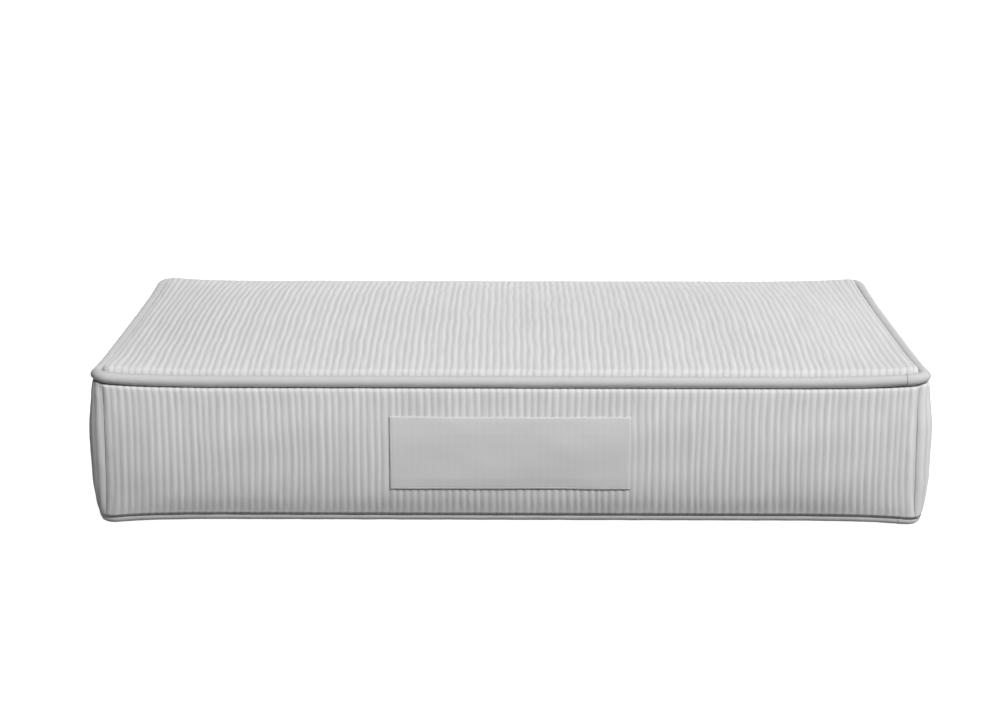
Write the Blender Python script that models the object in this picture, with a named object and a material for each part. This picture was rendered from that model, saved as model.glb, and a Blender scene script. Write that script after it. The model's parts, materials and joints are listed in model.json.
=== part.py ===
import math

import bmesh
import bpy

for item in list(bpy.data.objects):
    bpy.data.objects.remove(item, do_unlink=True)

# Driving dimensions, in metres. The mattress rests on z = 0, with its front long side towards -Y.
length = 1.200
depth = 0.550
topPipingHeight = 0.217
bottomPipingHeight = 0.015
cornerKick = 0.007
cornerRadius = 0.022
crownRise = 0.0394
bulge = 0.0198
wall = 0.0025
gap = 0.0003
pipingRadius = 0.008
sleeveWall = 0.0014
sleeveSlit = 0.0005
plyThickness = 0.00125
seamAllowance = 0.022
turnedPly = 0.0022
labelLength = 0.343
labelHeight = 0.108
labelDrop = 0.0475
labelThickness = 0.001
zipEndMargin = 0.110
zipOpeningHalf = 0.009
zipFlatHalf = 0.021
tapeThickness = 0.0009
plateThickness = 0.0015
linerWall = 0.0012
supportTop = 0.140
transitionTop = 0.175

halfLength = length / 2 - pipingRadius
halfDepth = depth / 2 - pipingRadius
edgeHeight = topPipingHeight - bottomPipingHeight
zipHeight = (topPipingHeight + bottomPipingHeight) / 2
zipHalfLength = halfLength - cornerRadius - zipEndMargin
zipTravelStart = zipHalfLength - 0.024
backPlane = halfDepth + bulge
innerRadius = pipingRadius - sleeveWall
cordRadius = 0.925 * innerRadius - 0.0005
flangeHalf = sleeveSlit / 2 + plyThickness
seamLevel = flangeHalf + gap
turnedLevel = seamLevel + turnedPly
seamInset = pipingRadius + 0.0006
clearRadius = pipingRadius + 0.0009
deepInset = halfDepth - 0.027
linerBulge = bulge - wall - tapeThickness - plateThickness - 3 * gap - 0.0008


def material(name, colour, roughness=0.9, metallic=0.0):
    made = bpy.data.materials.new(name)
    made.use_nodes = True
    shader = made.node_tree.nodes["Principled BSDF"]
    shader.inputs["Base Color"].default_value = (*colour, 1.0)
    shader.inputs["Roughness"].default_value = roughness
    shader.inputs["Metallic"].default_value = metallic
    return made


def addObject(name, points, faces, colour, roughness=0.9, metallic=0.0, smooth=True):
    mesh = bpy.data.meshes.new(name)
    mesh.from_pydata(points, [], faces)
    work = bmesh.new()
    work.from_mesh(mesh)
    bmesh.ops.recalc_face_normals(work, faces=work.faces)
    work.to_mesh(mesh)
    work.free()
    for face in mesh.polygons:
        face.use_smooth = smooth
    made = bpy.data.objects.new(name, mesh)
    bpy.context.scene.collection.objects.link(made)
    mesh.materials.append(material(name, colour, roughness, metallic))
    return made


def kickAt(distance):
    """How far a seam is raised at this distance along the edge from a corner, from 0 to 1."""
    return max(0.0, (math.exp(-distance / 0.055) - 0.05) / 0.95)


longStops = (-0.953, -0.845, -0.72, 0.72, 0.845, 0.953)
shortStops = (-0.74, 0.74)
cornerSteps = 6


def ring(inset):
    """The plan outline this far inside the piping's centre line: x, y and corner kick of each station."""
    radius = max(cornerRadius - inset, 0.006)
    alongX = halfLength - inset - radius
    alongY = halfDepth - inset - radius
    stations = []
    for side, (sx, sy) in enumerate(((1, -1), (1, 1), (-1, 1), (-1, -1))):
        for step in range(cornerSteps + 1):
            angle = math.radians(-90 + 90 * side + 90 * step / cornerSteps)
            away = cornerRadius * abs(math.radians(90 * step / cornerSteps - 45))
            x = sx * alongX + radius * math.cos(angle)
            y = sy * alongY + radius * math.sin(angle)
            stations.append((x, y, kickAt(away)))
        stops = shortStops if side % 2 == 0 else longStops
        straight = halfDepth - cornerRadius if side % 2 == 0 else halfLength - cornerRadius
        for stop in stops:
            kick = kickAt(cornerRadius * math.pi / 4 + straight * (1 - abs(stop)))
            if side == 0:
                stations.append((alongX + radius, stop * alongY, kick))
            elif side == 1:
                stations.append((-stop * alongX, alongY + radius, kick))
            elif side == 2:
                stations.append((-alongX - radius, -stop * alongY, kick))
            else:
                stations.append((stop * alongX, -alongY - radius, kick))
    return stations


stationCount = len(ring(0.0))


def stationAt(inset, place):
    """A station between two others, by its fractional index."""
    stations = ring(inset)
    low = math.floor(place)
    share = place - low
    first = stations[low % stationCount]
    second = stations[(low + 1) % stationCount]
    return tuple(a + (b - a) * share for a, b in zip(first, second))


def loft(rows, closed, order=None):
    """Points and faces of a closed section carried along its stations.

    With an order, given per point of the section, each face is split the same way in every piece."""
    count = len(rows[0])
    points = [point for row in rows for point in row]
    faces = []
    last = len(rows) if closed else len(rows) - 1
    for i in range(last):
        j = (i + 1) % len(rows)
        for k in range(count):
            m = (k + 1) % count
            corners = (i * count + k, i * count + m, j * count + m, j * count + k)
            if order is None:
                faces.append(corners)
            elif order[k] > order[m]:
                faces.append((corners[0], corners[1], corners[2]))
                faces.append((corners[0], corners[2], corners[3]))
            else:
                faces.append((corners[0], corners[1], corners[3]))
                faces.append((corners[1], corners[2], corners[3]))
    if not closed:
        faces.append(tuple(range(count)))
        faces.append(tuple((len(rows) - 1) * count + k for k in range(count)))
    return points, faces


def sweep(section, places, closed):
    """A section of (inset, height function of the kick) carried along the outline."""
    rows = []
    for place in places:
        row = []
        for inset, height in section:
            x, y, kick = stationAt(inset, place)
            row.append((x, y, height(kick)))
        rows.append(row)
    return loft(rows, closed, [inset for inset, _ in section])


def offsetLine(line, distance):
    """A line of (inset, height) moved sideways, to the left of the way it runs."""
    moved = []
    for i, (s, z) in enumerate(line):
        before = line[max(i - 1, 0)]
        after = line[min(i + 1, len(line) - 1)]
        first = (s - before[0], z - before[1]) if i else (after[0] - s, after[1] - z)
        second = (after[0] - s, after[1] - z) if i < len(line) - 1 else first
        normals = []
        for ds, dz in (first, second):
            size = math.hypot(ds, dz)
            normals.append((-dz / size, ds / size))
        mean = (normals[0][0] + normals[1][0], normals[0][1] + normals[1][1])
        size = math.hypot(*mean)
        mean = (mean[0] / size, mean[1] / size)
        reach = distance / max(mean[0] * normals[0][0] + mean[1] * normals[0][1], 0.5)
        moved.append((s + mean[0] * reach, z + mean[1] * reach))
    return moved


def boxCutter(name, low, high):
    points = [(x, y, z) for x in (low[0], high[0]) for y in (low[1], high[1]) for z in (low[2], high[2])]
    faces = [(0, 1, 3, 2), (4, 6, 7, 5), (0, 4, 5, 1), (2, 3, 7, 6), (0, 2, 6, 4), (1, 5, 7, 3)]
    made = addObject(name, points, faces, (0.5, 0.5, 0.5), smooth=False)
    made.hide_render = True
    made.display_type = "WIRE"
    return made


def cut(target, cutter):
    step = target.modifiers.new("cut", "BOOLEAN")
    step.operation = "DIFFERENCE"
    step.solver = "EXACT"
    step.object = cutter


def box(name, low, high, colour, roughness=0.8, metallic=0.0):
    made = boxCutter(name, low, high)
    made.hide_render = False
    made.display_type = "TEXTURED"
    made.data.materials.clear()
    made.data.materials.append(material(name, colour, roughness, metallic))
    return made


# Cover panels


def crownHeight(inset):
    """Height of the top panel's outer skin above the piping's centre line."""
    share = min(max((inset - 0.015) / (halfDepth - 0.015), 0.0), 1.0)
    return crownRise - (crownRise - 0.0138) * (1 - share) ** 2


def kickFade(inset):
    return math.exp(-max(0.0, inset - seamAllowance) / 0.06)


def topLevel(offset, inset):
    fade = kickFade(inset) if inset < 0.19 else 0.0
    return lambda kick: topPipingHeight + offset + cornerKick * kick * fade


def crownInsets():
    return [0.045 + (deepInset - 0.045) * share for share in (0.0, 0.18, 0.41, 0.69, 1.0)]


def addTopPanel():
    skin = [(seamInset, seamLevel), (seamInset, 0.0050), (seamInset + 0.001, 0.0088), (0.015, 0.0138)]
    skin += [(s, crownHeight(s)) for s in [0.026] + crownInsets()]
    inner = [(s, crownHeight(s) - wall) for s in crownInsets()[::-1] + [0.0275]]
    inner += [(0.0147 + wall, 0.0133 - wall), (seamInset + 0.004, turnedLevel + 0.0016)]
    inner += [(seamInset + 0.004, turnedLevel), (seamAllowance, turnedLevel), (seamAllowance, seamLevel)]
    section = [(s, topLevel(z, s)) for s, z in skin + inner]
    points, faces = sweep(section, range(stationCount), True)
    # The section's middle edge would join the two skins, so it is left out and both are closed across.
    count = len(section)
    outerMiddle = len(skin) - 1
    innerMiddle = outerMiddle + 1
    faces = [face for face in faces if not (outerMiddle in [p % count for p in face]
                                           and innerMiddle in [p % count for p in face])]
    faces.append(tuple(i * count + outerMiddle for i in range(stationCount)))
    faces.append(tuple(i * count + innerMiddle for i in range(stationCount)))
    addObject("top_panel", points, faces, (0.80, 0.80, 0.79))


def bottomLevel(offset, share):
    """A height whose share of the edge's lift above the floor falls away inwards."""
    lift = bottomPipingHeight - pipingRadius
    return lambda kick: offset + share * (lift - cornerKick * kick)


def addBottomPanel():
    top = pipingRadius - seamLevel
    turned = pipingRadius - turnedLevel
    skin = [(seamInset, top, 1.0), (seamInset, turned - 0.0002, 1.0), (0.0115, 0.0012, 1.0)]
    skin += [(0.017, 0.0003, 0.8), (0.028, 0.0, 0.35), (0.045, 0.0, 0.0)]
    inner = [(0.045, wall, 0.0), (0.029, wall, 0.35), (0.018, wall + 0.0003, 0.8)]
    inner += [(seamInset + 0.004, turned - 0.0004, 1.0), (seamInset + 0.004, turned + 0.0002, 1.0)]
    inner += [(seamAllowance, turned + 0.0002, 1.0), (seamAllowance, top, 1.0)]
    section = [(s, bottomLevel(z, share)) for s, z, share in skin + inner]
    points, faces = sweep(section, range(stationCount), True)
    count = len(section)
    outerMiddle = len(skin) - 1
    innerMiddle = outerMiddle + 1
    faces = [face for face in faces if not (outerMiddle in [p % count for p in face]
                                           and innerMiddle in [p % count for p in face])]
    faces.append(tuple(i * count + outerMiddle for i in range(stationCount)))
    faces.append(tuple(i * count + innerMiddle for i in range(stationCount)))
    addObject("bottom_panel", points, faces, (0.76, 0.76, 0.75))


# Borders. The profile runs down from the top seam: inset, and drop below the top piping's centre.
swell = bulge - pipingRadius
upperProfile = [(seamAllowance, seamLevel), (clearRadius, seamLevel)]
upperProfile += [(0.72 * clearRadius, 0.72 * clearRadius), (0.16 * clearRadius, 1.01 * clearRadius)]
upperProfile += [(-0.38 * clearRadius, 1.19 * clearRadius), (-0.79 * clearRadius, 1.6 * clearRadius)]
upperProfile += [(-pipingRadius - share * swell, drop * edgeHeight) for share, drop in
                 ((0.05, 0.099), (0.29, 0.153), (0.53, 0.213), (0.73, 0.282), (0.9, 0.35))]
upperProfile += [(-bulge, edgeHeight / 2 - zipFlatHalf)]
lowerProfile = [(-bulge, edgeHeight / 2 + zipFlatHalf)]
lowerProfile += [(-pipingRadius - share * swell, drop * edgeHeight) for share, drop in
                 ((0.98, 0.713), (0.93, 0.792), (0.79, 0.866), (0.62, 0.921))]
lowerProfile += [(-0.90 * clearRadius, edgeHeight - 1.26 * clearRadius)]
lowerProfile += [(-0.11 * clearRadius, edgeHeight - 1.06 * clearRadius)]
lowerProfile += [(0.72 * clearRadius, edgeHeight - 0.74 * clearRadius), (clearRadius, edgeHeight - seamLevel)]
lowerProfile += [(seamAllowance, edgeHeight - seamLevel)]


def borderLevel(drop):
    share = min(max((edgeHeight / 2 - drop) / (edgeHeight / 2 - 0.020), -1.0), 1.0)
    return lambda kick: topPipingHeight - drop + cornerKick * kick * share


def borderSection(profile):
    line = [(s, -drop) for s, drop in profile]
    back = offsetLine(line, wall)[::-1]
    return [(s, borderLevel(-z)) for s, z in line + back]


def addBorder(name, firstPlace, lastPlace, profile, colour):
    pull = 0.03
    places = [firstPlace + pull] + list(range(firstPlace + 1, lastPlace)) + [lastPlace - pull]
    points, faces = sweep(borderSection(profile), places, False)
    return addObject(name, points, faces, colour)


# The outline starts at the front right corner, and a border ends halfway round each corner.
perCorner = cornerSteps + 1
cornerFrontRight = cornerSteps // 2
cornerBackRight = perCorner + len(shortStops) + cornerSteps // 2
cornerBackLeft = 2 * perCorner + len(shortStops) + len(longStops) + cornerSteps // 2
cornerFrontLeft = 3 * perCorner + 2 * len(shortStops) + len(longStops) + cornerSteps // 2
frontEnd = stationCount + cornerFrontRight
wholeProfile = upperProfile + lowerProfile
upperHalf = upperProfile + [(-bulge, edgeHeight / 2 - 0.0002)]
lowerHalf = [(-bulge, edgeHeight / 2 + 0.0002)] + lowerProfile

addTopPanel()
addBottomPanel()
addBorder("border_right", cornerFrontRight, cornerBackRight, wholeProfile, (0.78, 0.78, 0.77))
addBorder("border_left", cornerBackLeft, cornerFrontLeft, wholeProfile, (0.78, 0.78, 0.77))
addBorder("border_front", cornerFrontLeft, frontEnd, wholeProfile, (0.79, 0.79, 0.78))
backUpper = addBorder("border_back_upper", cornerBackRight, cornerBackLeft, upperHalf, (0.78, 0.78, 0.77))
backLower = addBorder("border_back_lower", cornerBackRight, cornerBackLeft, lowerHalf, (0.78, 0.78, 0.77))
channelLow = (-zipHalfLength, backPlane - 0.012, zipHeight - zipOpeningHalf)
channelHigh = (zipHalfLength, backPlane + 0.012, zipHeight + zipOpeningHalf)
channel = boxCutter("zip_channel_cutter", channelLow, channelHigh)
cut(backUpper, channel)
cut(backLower, channel)


# Piping: a strip folded round a cord, with both plies in the seam. Its ends meet on the front, near the
# right corner, a share of the way from the front's last stop to the corner.
splice = -0.333
spliceShare = 0.010


def pipingPlaces():
    return [splice + spliceShare] + list(range(stationCount)) + [stationCount + splice - spliceShare]


def arc(radius, start, end, steps):
    turns = [math.radians(start + (end - start) * i / steps) for i in range(steps + 1)]
    return [(-radius * math.cos(turn), radius * math.sin(turn)) for turn in turns]


def addPiping(name, level, colour):
    slit = sleeveSlit / 2
    turn = math.degrees(math.asin(flangeHalf / pipingRadius))
    outside = [(seamAllowance, flangeHalf)] + arc(pipingRadius, 180 - turn, turn - 180, 10)
    outside += [(seamAllowance, -flangeHalf)]
    turn = math.degrees(math.asin(slit / innerRadius))
    inside = [(seamAllowance, -slit)] + arc(innerRadius, turn - 180, 180 - turn, 8) + [(seamAllowance, slit)]
    section = [(s, level(z)) for s, z in outside + inside]
    points, faces = sweep(section, pipingPlaces(), False)
    addObject(name + "_sleeve", points, faces, colour, 0.75)
    round8 = [(s, level(z)) for s, z in arc(cordRadius, 0, 315, 7)]
    points, faces = sweep(round8, pipingPlaces(), False)
    addObject(name + "_cord", points, faces, (0.85, 0.84, 0.81))


def topPipingLevel(z):
    return lambda kick: topPipingHeight + z + cornerKick * kick


def bottomPipingLevel(z):
    return lambda kick: bottomPipingHeight + z - cornerKick * kick


addPiping("top_piping", topPipingLevel, (0.80, 0.80, 0.80))
addPiping("bottom_piping", bottomPipingLevel, (0.78, 0.78, 0.78))


# Label, sewn flat to the front border


def profileBetween(high, low):
    """The border's profile from one drop below the top piping to another, both ends included."""
    part = [point for point in wholeProfile if high < point[1] < low]
    for (s0, d0), (s1, d1) in zip(wholeProfile, wholeProfile[1:]):
        if d0 <= high < d1:
            part.insert(0, (s0 + (s1 - s0) * (high - d0) / (d1 - d0), high))
        if d0 < low <= d1:
            part.append((s0 + (s1 - s0) * (low - d0) / (d1 - d0), low))
    return part


def addLabel():
    line = [(s, -drop) for s, drop in profileBetween(labelDrop, labelDrop + labelHeight)]
    back = offsetLine(line, -gap)
    face = offsetLine(line, -gap - labelThickness)[::-1]
    rows = []
    for x in (-labelLength / 2, labelLength / 2):
        rows.append([(x, -(halfDepth - s), topPipingHeight + z) for s, z in back + face])
    points, faces = loft(rows, False)
    addObject("label_patch", points, faces, (0.72, 0.72, 0.72), 0.6)


addLabel()

# Zip, set in the seam of the back border
tapeFront = backPlane - wall - gap
tapeBack = tapeFront - tapeThickness
coilFront = backPlane - 0.0005
coilBack = tapeFront + gap
frontPlate = coilFront + gap
backPlate = tapeBack - gap
slot = 0.0010
coilEnd = zipHalfLength - 0.008
stopStart = zipHalfLength - 0.014
stopEnd = zipHalfLength - 0.010
tapeReach = zipFlatHalf - 0.0052
for side, name in ((1, "upper"), (-1, "lower")):
    zs = sorted((zipHeight + side * slot, zipHeight + side * tapeReach))
    low = (-zipHalfLength - 0.010, tapeBack, zs[0])
    high = (zipHalfLength + 0.010, tapeFront, zs[1])
    box("zip_tape_" + name, low, high, (0.74, 0.74, 0.73))
    zs = sorted((zipHeight + side * slot, zipHeight + side * 0.0040))
    low = (-coilEnd, coilBack, zs[0])
    high = (coilEnd, coilFront, zs[1])
    box("zip_coil_" + name, low, high, (0.80, 0.80, 0.79), 0.45)
    low = (stopStart, frontPlate, zs[0])
    high = (stopEnd, frontPlate + 0.0010, zs[1])
    box("zip_top_stop_" + name, low, high, (0.62, 0.62, 0.63), 0.35, 1.0)
low = (-stopEnd, frontPlate, zipHeight - 0.0040)
high = (-stopStart, frontPlate + 0.0010, zipHeight + 0.0040)
box("zip_end_stop", low, high, (0.62, 0.62, 0.63), 0.35, 1.0)
for side, name in ((1, "left"), (-1, "right")):
    xs = sorted((side * (zipHalfLength - 0.005), side * (zipHalfLength + 0.021)))
    low = (xs[0], backPlane + gap, zipHeight - 0.0125)
    high = (xs[1], backPlane + gap + 0.0010, zipHeight + 0.0125)
    box("zip_end_tab_" + name, low, high, (0.78, 0.78, 0.77))


def prism(outline, low, high):
    """A closed outline in X and Z carried from one depth to another."""
    rows = [[(x, level, z) for x, z in outline] for level in (low, high)]
    return loft(rows, False)


def addSlider():
    x = zipTravelStart
    plateTop = frontPlate + plateThickness

    side = [(x - 0.0065, 0.0042), (x - 0.0050, 0.0052), (x + 0.0040, 0.0052), (x + 0.0065, 0.0040)]
    outline = [(px, pz + zipHeight) for px, pz in side + [(px, -pz) for px, pz in side[::-1]]]
    bodyPoints, bodyFaces = prism(outline, frontPlate, plateTop)
    slider = addObject("zip_slider", bodyPoints, bodyFaces, (0.66, 0.66, 0.67), 0.3, 1.0, False)
    bridgeTop = plateTop + 0.0037
    pieces = (
        ((x - 0.0060, backPlate - plateThickness, -0.0046), (x + 0.0060, backPlate, 0.0046)),
        ((x + 0.0015, backPlate - 0.0008, -0.0007), (x + 0.0058, plateTop - 0.0005, 0.0007)),
        ((x - 0.0037, plateTop - 0.0005, -0.0010), (x - 0.0027, bridgeTop, 0.0010)),
        ((x + 0.0027, plateTop - 0.0005, -0.0010), (x + 0.0037, bridgeTop, 0.0010)),
        ((x - 0.0037, bridgeTop - 0.0012, -0.0010), (x + 0.0037, bridgeTop, 0.0010)),
    )
    for number, (low, high) in enumerate(pieces):
        step = slider.modifiers.new("join", "BOOLEAN")
        step.operation = "UNION"
        step.solver = "EXACT"
        low = (low[0], low[1], low[2] + zipHeight)
        high = (high[0], high[1], high[2] + zipHeight)
        step.object = boxCutter(f"slider_join_{number}", low, high)
    return plateTop


def addPull(plateTop):
    x = zipTravelStart
    axisY = plateTop + 0.0014
    half = 0.0006
    side = [(0.0006, 0.0034), (-0.0056, 0.0034), (-0.0062, 0.0042), (-0.0238, 0.0042), (-0.0250, 0.0030)]
    outline = side + [(px, -pz) for px, pz in side[::-1]]
    points, faces = prism(outline, -half, half)
    pull = addObject("zip_pull", points, faces, (0.66, 0.66, 0.67), 0.3, 1.0, False)
    pull.location = (x, axisY, zipHeight)
    low = (x - 0.0050, axisY - 0.005, zipHeight - 0.0018)
    high = (x - 0.0006, axisY + 0.005, zipHeight + 0.0018)
    cut(pull, boxCutter("pull_hole_cutter", low, high))


addPull(addSlider())

# Filling: a knitted sock round three foam layers. The profile runs from the top's middle to the bottom's.
linerTop = [deepInset - 0.005, 0.72 * deepInset, 0.46 * deepInset, 0.060, 0.038]
linerProfile = [(s, topPipingHeight + crownHeight(s) - wall - 0.0008) for s in linerTop]
linerProfile += [(seamAllowance + 0.0055, topPipingHeight + 0.003)]
linerProfile += [(seamAllowance + 0.002, topPipingHeight - 0.005)]
linerProfile += [(0.0200, topPipingHeight - 0.011), (0.0060, topPipingHeight - 0.021)]
linerProfile += [(-share * linerBulge, topPipingHeight - drop * edgeHeight) for share, drop in
                 ((0.30, 0.165), (0.80, 0.272), (1.0, 0.381), (1.0, 0.62), (0.82, 0.767), (0.42, 0.861))]
linerProfile += [(0.0050, bottomPipingHeight + 0.016), (0.0200, bottomPipingHeight + 0.011)]
linerProfile += [(seamAllowance + 0.002, bottomPipingHeight + 0.005), (seamAllowance + 0.005, wall + 0.0075)]
linerProfile += [(0.0360, wall + 0.0033), (0.0520, wall + 0.0007), (deepInset - 0.005, wall + 0.0007)]
foamProfile = offsetLine(linerProfile, linerWall + 0.0004)


def bodyOf(profile):
    """A closed body whose side is the profile and whose ends are flat across."""
    rows = []
    for s, z in profile:
        rows.append([(x, y, z) for x, y, _ in ring(s)])
    return loft(rows, False)


def addLiner():
    points, faces = bodyOf(linerProfile)
    liner = addObject("inner_cover", points, faces, (0.84, 0.83, 0.80))
    points, faces = bodyOf(offsetLine(linerProfile, linerWall))
    hollow = addObject("liner_hollow_cutter", points, faces, (0.5, 0.5, 0.5))
    hollow.hide_render = True
    hollow.display_type = "WIRE"
    cut(liner, hollow)
    low = (-0.66 * halfLength, halfDepth - 0.010, zipHeight - 0.008)
    high = (0.66 * halfLength, halfDepth + 0.030, zipHeight + 0.008)
    cut(liner, boxCutter("liner_mouth_cutter", low, high))


def between(profile, high, low):
    """The stretch of a profile from one height down to another."""
    def cross(level):
        for (s0, z0), (s1, z1) in zip(profile, profile[1:]):
            if z0 >= level > z1:
                share = (z0 - level) / (z0 - z1)
                return s0 + (s1 - s0) * share, level
    part = [(s, z) for s, z in profile if low < z < high]
    start = [cross(high)] if high < profile[0][1] else []
    end = [cross(low)] if low > profile[-1][1] else []
    if not end:
        part = [(s, z) for s, z in profile if z < high]
    return start + part + end


def addFoam(name, high, low, colour):
    points, faces = bodyOf(between(foamProfile, high, low))
    addObject(name, points, faces, colour)


addLiner()
addFoam("memory_foam_layer", 1.0, transitionTop + 0.0004, (0.86, 0.84, 0.74))
addFoam("transition_foam_layer", transitionTop, supportTop + 0.0004, (0.80, 0.84, 0.86))
addFoam("support_foam_core", supportTop, -1.0, (0.84, 0.82, 0.78))
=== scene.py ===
import json
import math

import bmesh
import bpy
import numpy as np
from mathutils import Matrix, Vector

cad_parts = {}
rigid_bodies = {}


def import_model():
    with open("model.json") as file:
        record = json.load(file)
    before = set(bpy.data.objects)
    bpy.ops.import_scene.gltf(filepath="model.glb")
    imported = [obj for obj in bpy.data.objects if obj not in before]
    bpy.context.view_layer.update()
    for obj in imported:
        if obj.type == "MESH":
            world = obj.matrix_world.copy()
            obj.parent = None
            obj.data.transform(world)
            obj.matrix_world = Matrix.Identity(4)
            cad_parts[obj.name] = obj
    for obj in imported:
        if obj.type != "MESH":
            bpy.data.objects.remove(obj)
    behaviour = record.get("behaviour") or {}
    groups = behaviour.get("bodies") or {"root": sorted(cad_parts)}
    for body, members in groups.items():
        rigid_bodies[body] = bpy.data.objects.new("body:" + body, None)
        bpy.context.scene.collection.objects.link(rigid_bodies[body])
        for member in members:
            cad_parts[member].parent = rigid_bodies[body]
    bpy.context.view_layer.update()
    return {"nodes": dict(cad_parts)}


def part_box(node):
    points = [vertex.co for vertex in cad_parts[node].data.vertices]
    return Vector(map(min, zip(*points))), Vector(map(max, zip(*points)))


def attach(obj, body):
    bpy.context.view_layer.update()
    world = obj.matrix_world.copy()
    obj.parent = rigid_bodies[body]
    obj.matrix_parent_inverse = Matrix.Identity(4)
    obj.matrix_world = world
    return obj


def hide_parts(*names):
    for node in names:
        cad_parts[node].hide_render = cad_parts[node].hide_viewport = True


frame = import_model()
print("frame loaded:", len(frame["nodes"]), "nodes")

# The cover's outline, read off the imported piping
pipingLow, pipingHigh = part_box("top_piping_sleeve")
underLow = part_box("bottom_piping_sleeve")[0]
outline = {
    "pipingRadius": 0.008,
    "cornerRadius": 0.022,  # of the piping's middle line, in plan
    "cornerKick": 0.007,  # how far the corners of both seams spread
    "kickReach": 0.055,
    "seamInset": 0.0087,  # where the panels meet the piping
    "rollStart": 0.0022,
    "crownInset": 0.015,
}
radius = outline["pipingRadius"]
halfX = pipingHigh[0] - radius
halfY = pipingHigh[1] - radius
topSeam = pipingHigh[2] - radius - outline["cornerKick"]
bottomSeam = underLow[2] + radius + outline["cornerKick"]
edgeHeight = topSeam - bottomSeam
zipLevel = (topSeam + bottomSeam) / 2


# Shapes


def smoothNoise(seed, waves=7):
    # a smooth field of two coordinates, about -1 to 1, the same on each run
    rng = np.random.default_rng(seed)
    turn = rng.uniform(0, 2 * math.pi, waves)
    size = rng.uniform(0.6, 1.7, waves)
    phase = rng.uniform(0, 2 * math.pi, waves)

    def field(a, b):
        total = 0.0
        for t, s, p in zip(turn, size, phase):
            total = total + np.sin((a * math.cos(t) + b * math.sin(t)) * s * 2 * math.pi + p)
        return total / math.sqrt(waves * 2.0)
    return field


def kickAt(distance):
    # how much a seam is raised at this distance along the edge from the corner's middle
    share = (np.exp(-np.abs(distance) / outline["kickReach"]) - 0.05) / 0.95
    return np.maximum(share, 0.0)


def placeOnOutline(along, out):
    # plan position at a distance along the middle line of the piping, moved outwards by out
    # along is 0 at the middle of the front left corner and runs to the right along the front
    r = outline["cornerRadius"]
    quarter = r * math.pi / 2
    runs = (2 * (halfX - r), 2 * (halfY - r)) * 2
    along = np.mod(np.asarray(along, float), sum(runs) + 4 * quarter)
    x, y = np.zeros_like(along), np.zeros_like(along)
    start = 0.0
    for side, (cx, cy) in enumerate(((-1, -1), (1, -1), (1, 1), (-1, 1))):
        heading = side * math.pi / 2
        ux, uy = math.cos(heading), math.sin(heading)
        # half a corner, the straight run, then half of the next corner
        past = along - start - quarter / 2
        straight = np.clip(past, 0, runs[side])
        turn = (past - straight) / r
        nx = uy * np.cos(turn) + ux * np.sin(turn)
        ny = uy * np.sin(turn) - ux * np.cos(turn)
        inside = (along >= start) & (along <= start + quarter + runs[side])
        x = np.where(inside, cx * (halfX - r) + ux * straight + nx * (r + out), x)
        y = np.where(inside, cy * (halfY - r) + uy * straight + ny * (r + out), y)
        start += quarter + runs[side]
    return x, y


def sideLengths():
    r = outline["cornerRadius"]
    arcs = r * math.pi / 2
    return 2 * (halfX - r) + arcs, 2 * (halfY - r) + arcs


frontLength, endLength = sideLengths()


def cornerDistance(along):
    # distance along the middle line to the nearest corner's middle
    whole = 2 * (frontLength + endLength)
    marks = [0.0, frontLength, frontLength + endLength, 2 * frontLength + endLength, whole]
    return np.min([np.abs(np.mod(along, whole) - m) for m in marks], axis=0)


def smoothLine(points, count, weights=None):
    # a Catmull-Rom curve through the points, read at evenly spaced lengths or by weights
    p = np.array(points, float)
    p = np.vstack([2 * p[0] - p[1], p, 2 * p[-1] - p[-2]])
    fine = []
    for i in range(1, len(p) - 2):
        for t in np.linspace(0, 1, 24, endpoint=False):
            a, b, c, d = p[i - 1], p[i], p[i + 1], p[i + 2]
            fine.append(0.5 * (2 * b + (c - a) * t + (2 * a - 5 * b + 4 * c - d) * t * t
                               + (3 * b - a - 3 * c + d) * t ** 3))
    fine.append(p[-2])
    fine = np.array(fine)
    steps = np.linalg.norm(np.diff(fine, axis=0), axis=1)
    along = np.concatenate([[0], np.cumsum(steps)])
    at = np.linspace(0, 1, count) if weights is None else np.asarray(weights)
    at = at * along[-1]
    return np.stack([np.interp(at, along, fine[:, k]) for k in range(2)], axis=1)


ribShape = {"sharpness": 0.85}  # 1 is an even wave; less makes broader ridges


def gridNormals(grid):
    du = np.gradient(grid, axis=1)
    dv = np.gradient(grid, axis=0)
    normal = np.cross(du, dv)
    size = np.linalg.norm(normal, axis=2, keepdims=True)
    return normal / np.maximum(size, 1e-12)


def ribHeight(phase, seed, period=14):
    # 0 in the groove and up to 1 on the ridge; the knit's unevenness comes back after some ribs
    rng = np.random.default_rng(seed)
    tall = 1 + rng.uniform(-0.24, 0.12, period)
    shift = rng.uniform(-0.09, 0.09, period)
    number = np.floor(phase).astype(int)
    number = np.where(phase - number < shift[number % period], number - 1, number)
    number = np.where(phase - number >= 1 + shift[(number + 1) % period], number + 1, number)
    left = shift[number % period]
    right = shift[(number + 1) % period]
    place = np.clip((phase - number - left) / (1 + right - left), 0, 1)
    wave = 0.5 - 0.5 * np.cos(2 * math.pi * place)
    return wave ** ribShape["sharpness"] * tall[number % period]


def addMesh(name, points, faces, material, smooth=True, outward=True):
    mesh = bpy.data.meshes.new(name)
    mesh.from_pydata(np.asarray(points, float).tolist(), [], faces)
    if outward:
        work = bmesh.new()
        work.from_mesh(mesh)
        bmesh.ops.recalc_face_normals(work, faces=work.faces)
        work.to_mesh(mesh)
        work.free()
    mesh.polygons.foreach_set("use_smooth", [smooth] * len(mesh.polygons))
    piece = bpy.data.objects.new(name, mesh)
    bpy.context.scene.collection.objects.link(piece)
    mesh.materials.append(material)
    return piece


def place(piece, body, slotName, node=None):
    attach(piece, body)
    if node:
        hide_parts(node)


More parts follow.
